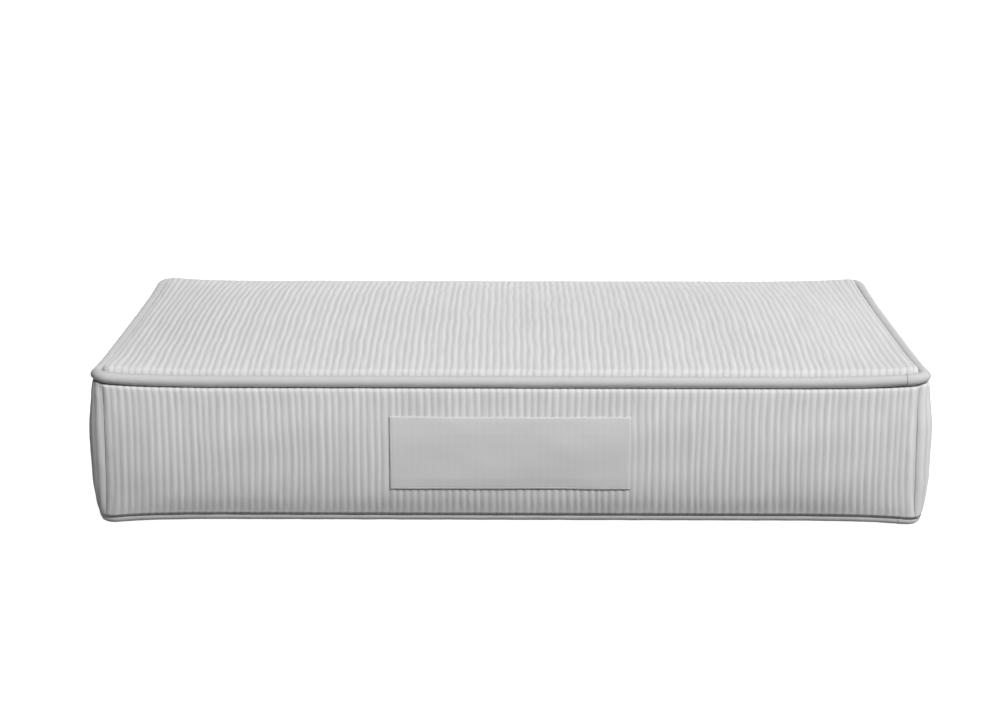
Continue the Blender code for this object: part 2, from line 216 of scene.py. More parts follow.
def addSheet(name, outer, base, thickness, rowMarks, columnMarks, material, ribs=None):
    # outer is the shown face, and base the same face without its ribs; the back is coarser
    inner = (base - gridNormals(base) * thickness)[np.ix_(rowMarks, columnMarks)]
    points = np.concatenate([outer.reshape(-1, 3), inner.reshape(-1, 3)])
    count = outer.shape[0] * outer.shape[1]
    front = np.arange(count).reshape(outer.shape[:2])
    back = np.arange(count, len(points)).reshape(inner.shape[:2])
    quads = np.stack([front[:-1, :-1], front[:-1, 1:], front[1:, 1:], front[1:, :-1]], axis=2)
    faces = quads.reshape(-1, 4).tolist()
    quads = np.stack([back[:-1, :-1], back[1:, :-1], back[1:, 1:], back[:-1, 1:]], axis=2)
    faces += quads.reshape(-1, 4).tolist()
    sides = ((front[0], back[0], columnMarks, -1), (front[-1], back[-1], columnMarks, 1),
             (front[:, 0], back[:, 0], rowMarks, 1), (front[:, -1], back[:, -1], rowMarks, -1))
    for edge, behind, marks, way in sides:
        for k in range(len(marks) - 1):
            rim = edge[marks[k]:marks[k + 1] + 1][::way].tolist()
            faces.append(rim + behind[k:k + 2][::-way].tolist())
    piece = addMesh(name, points, faces, material)
    if ribs is not None:
        # the rib attribute also drives the cloth's painted groove shade
        values = np.zeros(len(points), np.float32)
        values[:count] = ribs.ravel()
        piece.data.attributes.new("rib", "FLOAT", "POINT").data.foreach_set("value", values)
    return piece


def addSweep(name, rows, material):
    # rows holds one closed section at each station; both ends are closed
    rows = np.asarray(rows)
    stations, count = rows.shape[:2]
    i = np.arange(stations - 1)[:, None] * count
    k = np.arange(count)[None, :]
    m = (k + 1) % count
    quads = np.stack([i + k, i + m, i + count + m, i + count + k], axis=2)
    faces = quads.reshape(-1, 4).tolist()
    faces.append(list(range(count)))
    faces.append([(stations - 1) * count + n for n in range(count)])
    return addMesh(name, rows.reshape(-1, 3), faces, material)


def everyMarks(count, step):
    marks = list(range(0, count, step))
    if marks[-1] != count - 1:
        marks.append(count - 1)
    return marks


# Materials


def newGroup(name, inputs, outputs):
    group = bpy.data.node_groups.new(name, "ShaderNodeTree")
    for socketName, kind, value in inputs:
        socket = group.interface.new_socket(socketName, in_out="INPUT", socket_type=kind)
        socket.default_value = value
    for socketName, kind in outputs:
        group.interface.new_socket(socketName, in_out="OUTPUT", socket_type=kind)
    nodes = group.nodes
    return group, nodes.new("NodeGroupInput"), nodes.new("NodeGroupOutput")


def linkAll(tree, links):
    for source, output, target, socket in links:
        tree.links.new(source.outputs[output], target.inputs[socket])


def makeNode(nodes, kind, **values):
    node = nodes.new("ShaderNode" + kind)
    for socket, value in values.items():
        node.inputs[socket].default_value = value
    return node


def mathNode(nodes, operation, second=None):
    node = makeNode(nodes, "Math")
    node.operation = operation
    if second is not None:
        node.inputs[1].default_value = second
    return node


def buildPileGroup():
    # short cut pile: fine tufts, and long soft streaks along the ribs
    group, start, end = newGroup(
        "clothPile",
        (("Tuft Size", "NodeSocketFloat", 900.0), ("Stretch", "NodeSocketVector", (1, 1, 1)),
         ("Streak Size", "NodeSocketFloat", 160.0)),
        (("Tufts", "NodeSocketFloat"), ("Streaks", "NodeSocketFloat")))
    nodes = group.nodes
    where = makeNode(nodes, "TexCoord")
    stretched = makeNode(nodes, "VectorMath")
    stretched.operation = "MULTIPLY"
    tufts = makeNode(nodes, "TexNoise", Detail=3.0, Roughness=0.65)
    streaks = makeNode(nodes, "TexNoise", Detail=4.0)
    linkAll(group, (
        (where, "Object", stretched, 0), (start, "Stretch", stretched, 1),
        (where, "Object", tufts, "Vector"), (start, "Tuft Size", tufts, "Scale"),
        (stretched, 0, streaks, "Vector"), (start, "Streak Size", streaks, "Scale"),
        (tufts, "Fac", end, "Tufts"), (streaks, "Fac", end, "Streaks")))
    return group


def buildWeaveGroup():
    # plain woven cloth: two sets of threads passing over and under
    group, start, end = newGroup(
        "plainWeave",
        (("Threads", "NodeSocketFloat", 1500.0), ("Turn", "NodeSocketVector", (0, 0, 0))),
        (("Height", "NodeSocketFloat"), ("Fuzz", "NodeSocketFloat")))
    nodes = group.nodes
    where = makeNode(nodes, "TexCoord")
    turned = makeNode(nodes, "VectorRotate")
    turned.rotation_type = "EULER_XYZ"
    scaled = makeNode(nodes, "VectorMath")
    scaled.operation = "SCALE"
    split = makeNode(nodes, "SeparateXYZ")
    first, second, third = (mathNode(nodes, "SINE") for k in range(3))
    both = mathNode(nodes, "MULTIPLY")
    withThird = mathNode(nodes, "ADD")
    level = mathNode(nodes, "MULTIPLY_ADD", 0.25)
    level.inputs[2].default_value = 0.5
    fuzz = makeNode(nodes, "TexNoise", Scale=700.0, Detail=3.0)
    linkAll(group, (
        (where, "Object", turned, "Vector"), (start, "Turn", turned, "Rotation"),
        (turned, 0, scaled, 0), (start, "Threads", scaled, "Scale"), (scaled, 0, split, 0),
        (split, 0, first, 0), (split, 1, second, 0), (split, 2, third, 0),
        (first, 0, both, 0), (second, 0, both, 1), (both, 0, withThird, 0), (third, 0, withThird, 1),
        (withThird, 0, level, 0), (level, 0, end, "Height"),
        (where, "Object", fuzz, "Vector"), (fuzz, "Fac", end, "Fuzz")))
    return group


def buildFoamGroup():
    # open cells of two sizes, with a cut face's slow change of tone
    group, start, end = newGroup(
        "foamCells", (("Cell Size", "NodeSocketFloat", 420.0),),
        (("Cells", "NodeSocketFloat"), ("Tone", "NodeSocketFloat")))
    nodes = group.nodes
    where = makeNode(nodes, "TexCoord")
    large, small = makeNode(nodes, "TexVoronoi"), makeNode(nodes, "TexVoronoi")
    finer = mathNode(nodes, "MULTIPLY", 2.3)
    mixed = mathNode(nodes, "MULTIPLY")
    tone = makeNode(nodes, "TexNoise", Scale=14.0, Detail=3.0)
    linkAll(group, (
        (where, "Object", large, "Vector"), (start, 0, large, "Scale"), (start, 0, finer, 0),
        (finer, 0, small, "Scale"), (where, "Object", small, "Vector"),
        (where, "Object", tone, "Vector"), (large, "Distance", mixed, 0),
        (small, "Distance", mixed, 1), (mixed, 0, end, "Cells"), (tone, "Fac", end, "Tone")))
    return group


pileGroup = buildPileGroup()
weaveGroup = buildWeaveGroup()
foamGroup = buildFoamGroup()


def newMaterial(name, roughness, metallic=0.0, sheen=0.0):
    made = bpy.data.materials.new(name)
    made.use_nodes = True
    shader = made.node_tree.nodes["Principled BSDF"]
    shader.inputs["Roughness"].default_value = roughness
    shader.inputs["Metallic"].default_value = metallic
    shader.inputs["Sheen Weight"].default_value = sheen
    shader.inputs["Sheen Roughness"].default_value = 0.6
    return made, made.node_tree.nodes, shader


def colourRamp(nodes, stops):
    ramp = nodes.new("ShaderNodeValToRGB")
    while len(ramp.color_ramp.elements) < len(stops):
        ramp.color_ramp.elements.new(0.5)
    for element, (at, grey) in zip(ramp.color_ramp.elements, stops):
        element.position = at
        element.color = (*grey, 1.0)
    return ramp


def multiplyColours(nodes):
    node = makeNode(nodes, "Mix")
    node.data_type = "RGBA"
    node.blend_type = "MULTIPLY"
    node.inputs["Factor"].default_value = 1.0
    return node


def bumpInto(tree, height, shader, distance, strength=1.0):
    bump = tree.nodes.new("ShaderNodeBump")
    bump.inputs["Distance"].default_value = distance
    bump.inputs["Strength"].default_value = strength
    tree.links.new(height, bump.inputs["Height"])
    tree.links.new(bump.outputs["Normal"], shader.inputs["Normal"])


# cloth colours with painted groove shade: darker in each groove between ribs, lighter on the ridges; the
# streaks and tufts are the pile's own tone
ribClothAndGrooveShade = {
    "groove": (0.58, 0.58, 0.583),
    "flank": (0.68, 0.68, 0.68),
    "ridge": (0.72, 0.72, 0.718),
    "streaks": 0.10,
    "tufts": 0.07,
    "pileDepth": 0.00035,
}


def ribClothMaterial(name, stretch):
    made, nodes, shader = newMaterial(name, 0.93, sheen=0.18)
    s = ribClothAndGrooveShade
    # painted groove shade: the rib attribute darkens the base colour in the grooves and lightens it on the
    # ridges
    rib = makeNode(nodes, "Attribute")
    rib.attribute_name = "rib"
    tone = colourRamp(nodes, ((0.0, s["groove"]), (0.35, s["flank"]), (0.85, s["ridge"])))
    pile = makeNode(nodes, "Group")
    pile.node_tree = pileGroup
    pile.inputs["Stretch"].default_value = stretch
    streak = colourRamp(nodes, ((0.30, (1 - s["streaks"],) * 3), (0.70, (1.0, 1.0, 1.0))))
    tuft = colourRamp(nodes, ((0.30, (1 - s["tufts"],) * 3), (0.65, (1.0, 1.0, 1.0))))
    withStreak, withTuft = multiplyColours(nodes), multiplyColours(nodes)
    depth = mathNode(nodes, "MULTIPLY_ADD", 0.5)
    linkAll(made.node_tree, (
        (rib, "Fac", tone, "Fac"), (pile, "Streaks", streak, "Fac"), (pile, "Tufts", tuft, "Fac"),
        (tone, "Color", withStreak, 6), (streak, "Color", withStreak, 7),
        (withStreak, 2, withTuft, 6), (tuft, "Color", withTuft, 7),
        (withTuft, 2, shader, "Base Color"), (pile, "Tufts", depth, 0), (pile, "Streaks", depth, 2)))
    bumpInto(made.node_tree, depth.outputs[0], shader, s["pileDepth"], 0.8)
    return made


def wovenMaterial(name, colour, dark, threads, turn=(0, 0, 0), depth=0.00012, roughness=0.8, sheen=0.1):
    made, nodes, shader = newMaterial(name, roughness, sheen=sheen)
    weave = makeNode(nodes, "Group")
    weave.node_tree = weaveGroup
    weave.inputs["Threads"].default_value = threads
    weave.inputs["Turn"].default_value = turn
    tone = colourRamp(nodes, ((0.2, dark), (0.75, colour)))
    mixed = mathNode(nodes, "MULTIPLY_ADD", 0.6)
    linkAll(made.node_tree, (
        (weave, "Height", mixed, 0), (weave, "Fuzz", mixed, 2), (mixed, 0, tone, "Fac"),
        (tone, "Color", shader, "Base Color")))
    bumpInto(made.node_tree, weave.outputs["Height"], shader, depth, 0.7)
    return made


def plasticMaterial(name, colour, dark, roughness):
    made, nodes, shader = newMaterial(name, roughness)
    cloud = makeNode(nodes, "TexNoise", Scale=90.0)
    tone = colourRamp(nodes, ((0.3, dark), (0.7, colour)))
    linkAll(made.node_tree, ((cloud, "Fac", tone, "Fac"), (tone, "Color", shader, "Base Color")))
    return made


def foamMaterial(name, colour, dark, cells):
    made, nodes, shader = newMaterial(name, 0.95)
    foam = makeNode(nodes, "Group")
    foam.node_tree = foamGroup
    foam.inputs["Cell Size"].default_value = cells
    cellTone = colourRamp(nodes, ((0.02, dark), (0.30, colour)))
    slow = colourRamp(nodes, ((0.3, (0.93, 0.93, 0.92)), (0.7, (1.0, 1.0, 1.0))))
    mixed = multiplyColours(nodes)
    linkAll(made.node_tree, (
        (foam, "Cells", cellTone, "Fac"), (foam, "Tone", slow, "Fac"), (cellTone, "Color", mixed, 6),
        (slow, "Color", mixed, 7), (mixed, 2, shader, "Base Color")))
    bumpInto(made.node_tree, foam.outputs["Cells"], shader, 0.0008, 0.8)
    return made


def metalMaterial(name, colour, rough):
    made, nodes, shader = newMaterial(name, rough, metallic=1.0)
    where = makeNode(nodes, "TexCoord")
    scratches = makeNode(nodes, "TexNoise", Scale=1400.0, Detail=4.0)
    tone = colourRamp(nodes, ((0.3, tuple(c * 0.86 for c in colour)), (0.7, colour)))
    linkAll(made.node_tree, (
        (where, "Object", scratches, "Vector"), (scratches, "Fac", tone, "Fac"),
        (tone, "Color", shader, "Base Color")))
    bumpInto(made.node_tree, scratches.outputs["Fac"], shader, 0.00004, 0.5)
    return made


topCloth = ribClothMaterial("ribbedClothTop", (1.0, 0.06, 1.0))
sideCloth = ribClothMaterial("ribbedClothSides", (1.0, 1.0, 0.06))
pipingCloth = wovenMaterial("pipingCloth", (0.55, 0.55, 0.55), (0.475, 0.475, 0.48), 5200, (0, 0, 0.785))
labelCloth = wovenMaterial("labelCloth", (0.60, 0.60, 0.60), (0.55, 0.55, 0.55), 9000, depth=0.00004,
                           roughness=0.62, sheen=0.05)
threadCloth = wovenMaterial("sewingThread", (0.72, 0.72, 0.72), (0.55, 0.55, 0.55), 14000, (0, 0, 0.5))
tapeCloth = wovenMaterial("zipTapeCloth", (0.62, 0.62, 0.62), (0.50, 0.50, 0.50), 6000)
cordCloth = wovenMaterial("cordCotton", (0.80, 0.78, 0.72), (0.62, 0.60, 0.54), 2600, (0.4, 0.3, 0.6), 0.0004)
linerCloth = wovenMaterial("linerKnit", (0.80, 0.79, 0.76), (0.66, 0.65, 0.62), 3400, (0, 0, 0.785), 0.0002)
memoryFoam = foamMaterial("memoryFoam", (0.80, 0.76, 0.62), (0.62, 0.57, 0.43), 650)
transitionFoam = foamMaterial("transitionFoam", (0.66, 0.74, 0.78), (0.48, 0.56, 0.60), 480)
supportFoam = foamMaterial("supportFoam", (0.76, 0.74, 0.70), (0.56, 0.54, 0.50), 330)
coilPlastic = plasticMaterial("zipCoilPlastic", (0.74, 0.74, 0.73), (0.67, 0.67, 0.66), 0.38)
zipMetal = metalMaterial("zipNickel", (0.46, 0.46, 0.47), 0.42)
print("materials made")

# Top panel, ribs running from front to back

topPanel = {
    "ribs": 117,
    "perRib": 8,
    "ribDepth": 0.0010,
    "crown": 0.0394,  # above the seam
    "roll": 0.0142,  # height reached just inside the seam
    "rollWidth": 0.0075,
    "thickness": 0.0022,
    "wander": 0.0008,  # how far a rib strays sideways
}


def insideDistance(x, y):
    r = outline["cornerRadius"]
    qx = np.abs(x) - (halfX - r)
    qy = np.abs(y) - (halfY - r)
    outer = np.hypot(np.maximum(qx, 0), np.maximum(qy, 0)) + np.minimum(np.maximum(qx, qy), 0) - r
    return -outer


def kickField(x, y):
    # the corners' lift at any plan position, falling away from each corner
    r = outline["cornerRadius"]
    away = np.hypot(np.maximum(halfX - r * 0.3 - np.abs(x), 0), np.maximum(halfY - r * 0.3 - np.abs(y), 0))
    edge = np.exp(-np.maximum(insideDistance(x, y) - 0.02, 0) / 0.07)
    return kickAt(away) * edge


def crownField(x, y, crown, roll, rollWidth):
    # the roll at the edge starts at a height above the seam, and the crown inside it
    low, inset = outline["rollStart"], outline["crownInset"]
    t = np.clip((insideDistance(x, y) - outline["seamInset"]) / rollWidth, 0, 1)
    edge = low + (roll - low) * np.sqrt(np.maximum(1 - (1 - t) ** 2, 0))
    tx = np.clip((halfX - inset - np.abs(x)) / (halfY - inset), 0, 1)
    ty = np.clip((halfY - inset - np.abs(y)) / (halfY - inset), 0, 1)
    return edge + (crown - roll) * (1 - (1 - tx) ** 2) * (1 - (1 - ty) ** 2)


def panelGrid(settings, rowCount):
    # columns at fixed x from the left seam to the right one, rows from the front seam to the back one
    inset = outline["seamInset"]
    wide = halfX - inset
    deep = halfY - inset
    r = outline["cornerRadius"] - inset
    count = settings["ribs"] * settings["perRib"] + 1
    columns = np.linspace(-wide, wide, count)
    extra = np.array([0.00006, 0.0003, 0.0007])
    columns = np.unique(np.concatenate([columns, -wide + extra, wide - extra]))
    start = np.array([0, 0.00008, 0.0003, 0.0007, 0.0013, 0.0022, 0.0034, 0.0050, 0.0075])
    middle = np.linspace(0.011, 2 * deep - 0.011, rowCount)
    rows = np.concatenate([start, middle, (2 * deep - start)[::-1]]) / deep - 1
    over = np.maximum(np.abs(columns) - (wide - r), 0)
    reach = (deep - r) + np.sqrt(np.maximum(r * r - over * over, 0))
    share = (np.abs(rows) * deep - deep) / deep  # 0 at the seams
    y = np.sign(rows)[:, None] * (reach[None, :] + share[:, None] * reach[None, :])
    x = np.broadcast_to(columns[None, :], y.shape)
    return x.copy(), y, wide


def addTopPanel():
    s = topPanel
    x, y, wide = panelGrid(s, 52)
    z = topSeam + crownField(x, y, s["crown"], s["roll"], s["rollWidth"])
    z = z + outline["cornerKick"] * kickField(x, y)
    uneven = smoothNoise(11)
    z = z + 0.0009 * uneven(x / 0.22, y / 0.18) * np.clip(insideDistance(x, y) / 0.06, 0, 1)
    base = np.stack([x, y, z], axis=2)
    wander = smoothNoise(12, 9)
    drift = smoothNoise(13, 5)
    sideways = s["wander"] * (wander(x / 0.045, y / 0.085) + 0.7 * drift(x / 0.16, y / 0.20))
    phase = (x + wide + sideways) / (2 * wide) * s["ribs"]
    rib = ribHeight(phase, 3)
    inside = insideDistance(x, y) - outline["seamInset"]
    fade = np.clip(inside / 0.010, 0.12, 1) * (1 + 0.12 * drift(x / 0.05, y / 0.07))
    normal = gridNormals(base)
    outer = base + normal * (rib * fade - 0.55)[..., None] * s["ribDepth"]
    rowMarks = everyMarks(x.shape[0], 2)
    columnMarks = everyMarks(x.shape[1], 8)
    piece = addSheet("top_panel_cloth", outer, base - normal * 0.001, s["thickness"], rowMarks, columnMarks,
                     topCloth, rib)
    place(piece, "mattress", "ribbed_cover", "top_panel")
    return piece


# Borders: vertical ribs, bulging, with a sewn seam at each corner

border = {
    "wrap": 0.0115,  # from a corner's middle to the seam
    "longRibs": 114,
    "endRibs": 54,
    "ribDepth": 0.0008,
    "perRib": 8,
    "thickness": 0.0022,
    "foldThinning": 0.75,
    "cornerPull": 0.36,  # how much of the bulge is lost at a corner seam
    "pullReach": 0.044,
    "topPull": 0.5,  # how much stronger that is at the top
    "topReach": 0.022,
    "uneven": 0.0011,
    "seamShifts": (0.006, 0.008),  # towards the corner, at the top and at the bottom
    "shiftReaches": (0.022, 0.045),
    "tuck": 0.0018,  # how far the cloth under the top piping drops at a corner
    "tuckAt": 0.0085,
    "foldAt": 0.198,
    "foldReach": 0.005,
    "seamDip": 0.0018,
    "seamWidth": 0.0036,
    "seamGap": 0.00012,
    "seamAllowance": 0.013,
    "pucker": 0.0011,
    "bend": 0.0035,  # how far a rib leans away from the corner seam near the top
    "wander": 0.0008,
}
# out from the piping's middle line, and drop below it; the bottom rolls down over the lower piping
borderProfile = [
    (-0.0120, 0.0021), (-0.0090, 0.0024), (-0.0071, 0.0052), (-0.0036, 0.0082), (0.0004, 0.0091),
    (0.0036, 0.0088), (0.0060, 0.0082), (0.0080, 0.0077), (0.0093, 0.0092), (0.0101, 0.0130),
    (0.0111, 0.0200), (0.0125, 0.0310), (0.0144, 0.0430), (0.0166, 0.0570), (0.0184, 0.0720),
    (0.0194, 0.0860), (0.0199, 0.1010), (0.0202, 0.1200), (0.0201, 0.1380), (0.0189, 0.1550),
    (0.0172, 0.1690), (0.0150, 0.1780), (0.0127, 0.1855), (0.0107, 0.1925), (0.0094, 0.1978),
    (0.0088, 0.2000), (0.0084, 0.2006), (0.0080, 0.1997), (0.0068, 0.1962), (0.0030, 0.1932),
    (-0.0020, 0.1928), (-0.0060, 0.1950), (-0.0090, 0.1994), (-0.0120, 0.1998)]
wrap = border["wrap"]
longSize, endSize = frontLength - 2 * wrap, endLength + 2 * wrap


def rowPlaces(count, firstFine=True, lastFine=True):
    # evenly spaced places from 0 to 1, closer together at a rolled end
    t = np.linspace(0, 1, count)
    a = 0.80 if firstFine else 0.0
    b = 0.80 if lastFine else 0.0
    return t - a * np.sin(2 * math.pi * t) / (2 * math.pi) * 0.5 - b * np.sin(2 * math.pi * t) / (4 * math.pi)


def levelAt(drop, along):
    # a drop below the top seam as a height, with both seams spreading towards a corner
    kick = outline["cornerKick"] * kickAt(cornerDistance(along))
    share = np.clip((edgeHeight / 2 - drop) / (edgeHeight / 2 - 0.020), -1, 1)
    return topSeam - drop + kick * share


def seamShift(drop):
    # the corner seams lie nearer the corner at the top and at the bottom
    (top, bottom), (topReach, bottomReach) = border["seamShifts"], border["shiftReaches"]
    return top * np.exp(-drop / topReach) + bottom * np.exp((drop - edgeHeight) / bottomReach)


def borderOut(out, drop, along, start, size, seed):
    # pulled in towards the corner seams, and a little uneven in between
    s = border
    toSeam = np.maximum(np.minimum(along - start, start + size - along), 0)
    toEdge = np.minimum(drop, edgeHeight - drop)
    near = np.exp(-(toSeam / s["pullReach"]) ** 1.3)
    atTop = 1 + s["topPull"] * np.exp(-np.maximum(drop, 0) / s["topReach"])
    pull = s["cornerPull"] * near * atTop * np.clip((edgeHeight - drop) / 0.03, 0, 1)
    out = np.where(out > 0, out * (1 - pull), out)
    middle = np.clip(toEdge / 0.05, 0, 1) * (1 - np.exp(-toSeam / 0.02))
    return out + s["uneven"] * smoothNoise(seed)(along / 0.20, drop / 0.12) * middle


def borderGrid(start, size, ribs, line, seed, hem=None):
    s = border
    t = np.linspace(0, 1, ribs * s["perRib"] + 1)
    fine = np.array([0.0004, 0.0012, 0.0024]) / size
    t = np.unique(np.concatenate([t, fine, 1 - fine]))
    clear = s["seamGap"] / size
    t = clear + t * (1 - 2 * clear)
    shape = (len(line), len(t))
    out = np.broadcast_to(line[:, :1], shape)
    drop = np.broadcast_to(line[:, 1:], shape)
    grow = 1 if size > endSize else -1
    along = start + t * size - grow * seamShift(drop) * (1 - 2 * t)
    hemFade = 1.0
    if hem is not None:
        out, drop, hemFade = hem(out, drop, along)
    toSeam = np.minimum(t, 1 - t) * size
    out = borderOut(out, drop, along, start, size, seed)
    shown = np.clip(np.minimum(drop, edgeHeight - drop) / 0.012 - 0.4, 0, 1)
    dip = s["seamDip"] * np.exp(-(toSeam / s["seamWidth"]) ** 1.15)
    ripple = smoothNoise(seed + 1, 6)
    nearSeam = np.exp(-toSeam / 0.016) * (1 - np.exp(-toSeam / 0.003))
    gather = s["pucker"] * ripple(drop / 0.034, toSeam[None, :] / 0.08) * nearSeam[None, :]
    out = out + (gather - dip[None, :]) * shown
    x, y = placeOnOutline(along, out)
    tuck = s["tuck"] * np.exp(-toSeam / s["pullReach"])[None, :]
    tuck = tuck * np.exp(-((drop - s["tuckAt"]) / 0.005) ** 2)
    base = np.stack([x, y, levelAt(drop + tuck, along)], axis=2)
    wander = smoothNoise(seed + 2, 9)
    drift = smoothNoise(seed + 3, 5)
    bend = s["bend"] * np.exp(-toSeam / 0.028)[None, :] * np.exp(-drop / 0.030) * np.sign(t - 0.5)[None, :]
    sideways = s["wander"] * (0.5 * wander(along / 0.05, drop / 0.10) + drift(along / 0.18, drop / 0.22))
    phase = np.clip(t + (sideways + bend) / size, 0, 0.99999) * ribs
    rib = ribHeight(phase, seed + 4)
    fade = np.clip(toSeam / 0.006, 0.15, 1)[None, :] * np.clip(shown * 1.2, 0.1, 1) * hemFade
    fade = fade * (1 + 0.10 * drift(along / 0.05, drop / 0.05))
    normal = gridNormals(base)
    # as the grid runs along the outline, its normals all point one way: in or out
    middle = (shape[0] // 2, shape[1] // 2)
    side = math.copysign(1.0, normal[middle][0] * x[middle] + normal[middle][1] * y[middle])
    normal = normal * side
    outer = base + normal * (rib * fade - 0.55)[..., None] * s["ribDepth"]
    return outer, base - normal * 0.001, rib, side


def addBorder(name, node, start, size, ribs, line, seed, hem=None):
    outer, base, rib, side = borderGrid(start, size, ribs, line, seed, hem)
    # thinner where the cloth folds back over the lower piping
    onFold = np.exp(-((line[:, 1] - border["foldAt"]) / border["foldReach"]) ** 2)
    fold = 1 - border["foldThinning"] * onFold
    thickness = border["thickness"] * side * fold[:, None, None]
    rowMarks = everyMarks(outer.shape[0], 2)
    columnMarks = everyMarks(outer.shape[1], 8)
    piece = addSheet(name, outer, base, thickness, rowMarks, columnMarks, sideCloth, rib)
    place(piece, "mattress", "ribbed_cover", node)
    return piece


addTopPanel()
print("top panel made")
wholeLine = smoothLine(borderProfile, 46, rowPlaces(46))
# the end borders wrap round the corners, so the seams lie on the long sides
frontStart, rightStart = wrap, frontLength - wrap
backStart, leftStart = frontLength + endLength + wrap, 2 * frontLength + endLength - wrap
addBorder("border_front_cloth", "border_front", frontStart, longSize, border["longRibs"], wholeLine, 31)
addBorder("border_right_cloth", "border_right", rightStart, endSize, border["endRibs"], wholeLine, 41)
addBorder("border_left_cloth", "border_left", leftStart, endSize, border["endRibs"], wholeLine, 51)

# Back border, in two parts with the zip between them

zipper = {
    "halfLength": 0.460,  # of the open channel
    "channelHalf": 0.0091,
    "closedHalf": 0.00035,  # half the gap beyond the channel
    "closing": 0.006,  # over this length the two hems come together
    "hemTurn": 0.0007,  # how far the hem's edge rolls in
    "stitchInset": 0.0042,
    "stitchPitch": 0.0034,
}


def hemHalf(along):
    x = np.abs(along - backStart - longSize / 2)
    t = np.clip((x - zipper["halfLength"] + zipper["closing"] / 2) / zipper["closing"], 0, 1)
    smooth = t * t * (3 - 2 * t)
    return zipper["channelHalf"] * (1 - smooth) + zipper["closedHalf"] * smooth


def zipHem(out, drop, along):
    # the last rows run level with the zip's channel, and roll in at its edge
    middle = edgeHeight / 2
    up = np.sign(middle - drop)
    away = np.abs(middle - drop)
    reach = 0.045
    share = np.clip((reach - away) / (reach - zipper["channelHalf"]), 0, 1)
    away = away - share * (zipper["channelHalf"] - hemHalf(along))
    fromEdge = away - hemHalf(along)
    out = out - zipper["hemTurn"] * np.exp(-(fromEdge / 0.0008) ** 2)
    groove = 0.0005 * np.exp(-((fromEdge - zipper["stitchInset"]) / 0.0007) ** 2)
    fade = 0.22 + 0.78 * np.clip((fromEdge - 0.003) / 0.007, 0, 1)
    return out - groove, middle - up * away, fade


def halfLine(upper):
    middle = edgeHeight / 2
    edge = middle - zipper["channelHalf"] if upper else middle + zipper["channelHalf"]
    steps = np.array([0, 0.0006, 0.0014, 0.0026, 0.0035, 0.0042, 0.0049, 0.0058])
    points = [p for p in borderProfile if (p[1] < edge - 0.008 if upper else p[1] > edge + 0.008)]
    full = np.array(borderProfile)
    if upper:
        rolled = smoothLine(points, 22, rowPlaces(22, True, False))
        tail = edge - steps[::-1]
    else:
        rolled = smoothLine(points, 22, rowPlaces(22, False, True))
        tail = edge + steps
    tail = np.stack([np.interp(tail, full[:, 1], full[:, 0]), tail], axis=1)
    return np.concatenate([rolled, tail] if upper else [tail, rolled])


for upper, name in ((True, "upper"), (False, "lower")):
    node = "border_back_" + name
    addBorder(node + "_cloth", node, backStart, longSize, border["longRibs"], halfLine(upper), 61, zipHem)
print("borders made")

# Bottom panel, flat where it rests

bottomPanel = {"ribs": 117, "perRib": 6, "ribDepth": 0.0010, "thickness": 0.0016, "wander": 0.0008}


def addBottomPanel():
    s = bottomPanel
    x, y, wide = panelGrid(s, 30)
    inside = insideDistance(x, y) - outline["seamInset"]
    # the edge rolls down from the seam, less at the corners, where the seam is lower
    seam = bottomSeam - 0.0022 - outline["cornerKick"] * kickField(x, y)
    low = 0.0002 + 1.08 * s["ribDepth"]
    t = np.clip(inside / 0.011, 0, 1)
    z = low + (seam - low) * (1 - np.sqrt(np.maximum(1 - (1 - t) ** 2, 0)))
    base = np.stack([x, y, z], axis=2)
    wander = smoothNoise(72, 9)
    sideways = s["wander"] * wander(x / 0.06, y / 0.12)
    phase = (x + wide + sideways) / (2 * wide) * s["ribs"]
    rib = np.minimum(ribHeight(phase, 73), 0.86) / 0.86
    fade = np.clip(inside / 0.010, 0.1, 1)
    normal = gridNormals(base)
    outer = base - normal * (rib * fade)[..., None] * s["ribDepth"]
    outer[..., 2] = np.maximum(outer[..., 2], 0.0002)
    piece = addSheet("bottom_panel_cloth", outer, base, -s["thickness"], everyMarks(x.shape[0], 2),
                     everyMarks(x.shape[1], s["perRib"]), topCloth, rib)
    place(piece, "mattress", "ribbed_cover", "bottom_panel")


addBottomPanel()
print("bottom panel made")

# Piping: a strip folded round a cord and sewn into the seam

piping = {
    "stations": 432,
    "wall": 0.0014,
    "slit": 0.00025,
    "flangeHalf": 0.0015,
    "seamAllowance": 0.022,
    "spliceAt": 0.0263,  # from the middle of the front right corner, back along the front
    "spliceLift": 0.0005,
    "wrinkle": 0.00016,
    "cordRadius": 0.0056,
    "strands": 3,
    "strandTurn": 0.030,
}


def pipingSection():
    s = piping
    turn = math.asin(s["flangeHalf"] / radius)
    angles = np.linspace(math.pi - turn, -math.pi + turn, 27)
    outside = [(-s["seamAllowance"], s["flangeHalf"]), (-0.0125, s["flangeHalf"])]
    outside += [(radius * math.cos(a), radius * math.sin(a)) for a in angles]
    outside += [(-0.0125, -s["flangeHalf"]), (-s["seamAllowance"], -s["flangeHalf"])]
    inner = radius - s["wall"]
    turn = math.asin(s["slit"] / inner)
    angles = np.linspace(-math.pi + turn, math.pi - turn, 19)
    inside = [(-s["seamAllowance"], -s["slit"])]
    inside += [(inner * math.cos(a), inner * math.sin(a)) for a in angles]
    inside += [(-s["seamAllowance"], s["slit"])]
    return np.array(outside + inside)


def pipingPlaces():
    # from one side of the splice all the way round to the other
    whole = 2 * (frontLength + endLength)
    start = frontLength - piping["spliceAt"]
    runs = np.linspace(0, whole, piping["stations"])
    near = np.array([0.0006, 0.0012, 0.0022, 0.0034])
    return start + np.unique(np.concatenate([runs, near, whole - near])), start, whole


def seamHeight(along, top):
    kick = outline["cornerKick"] * kickAt(cornerDistance(along))
    return topSeam + kick if top else bottomSeam - kick


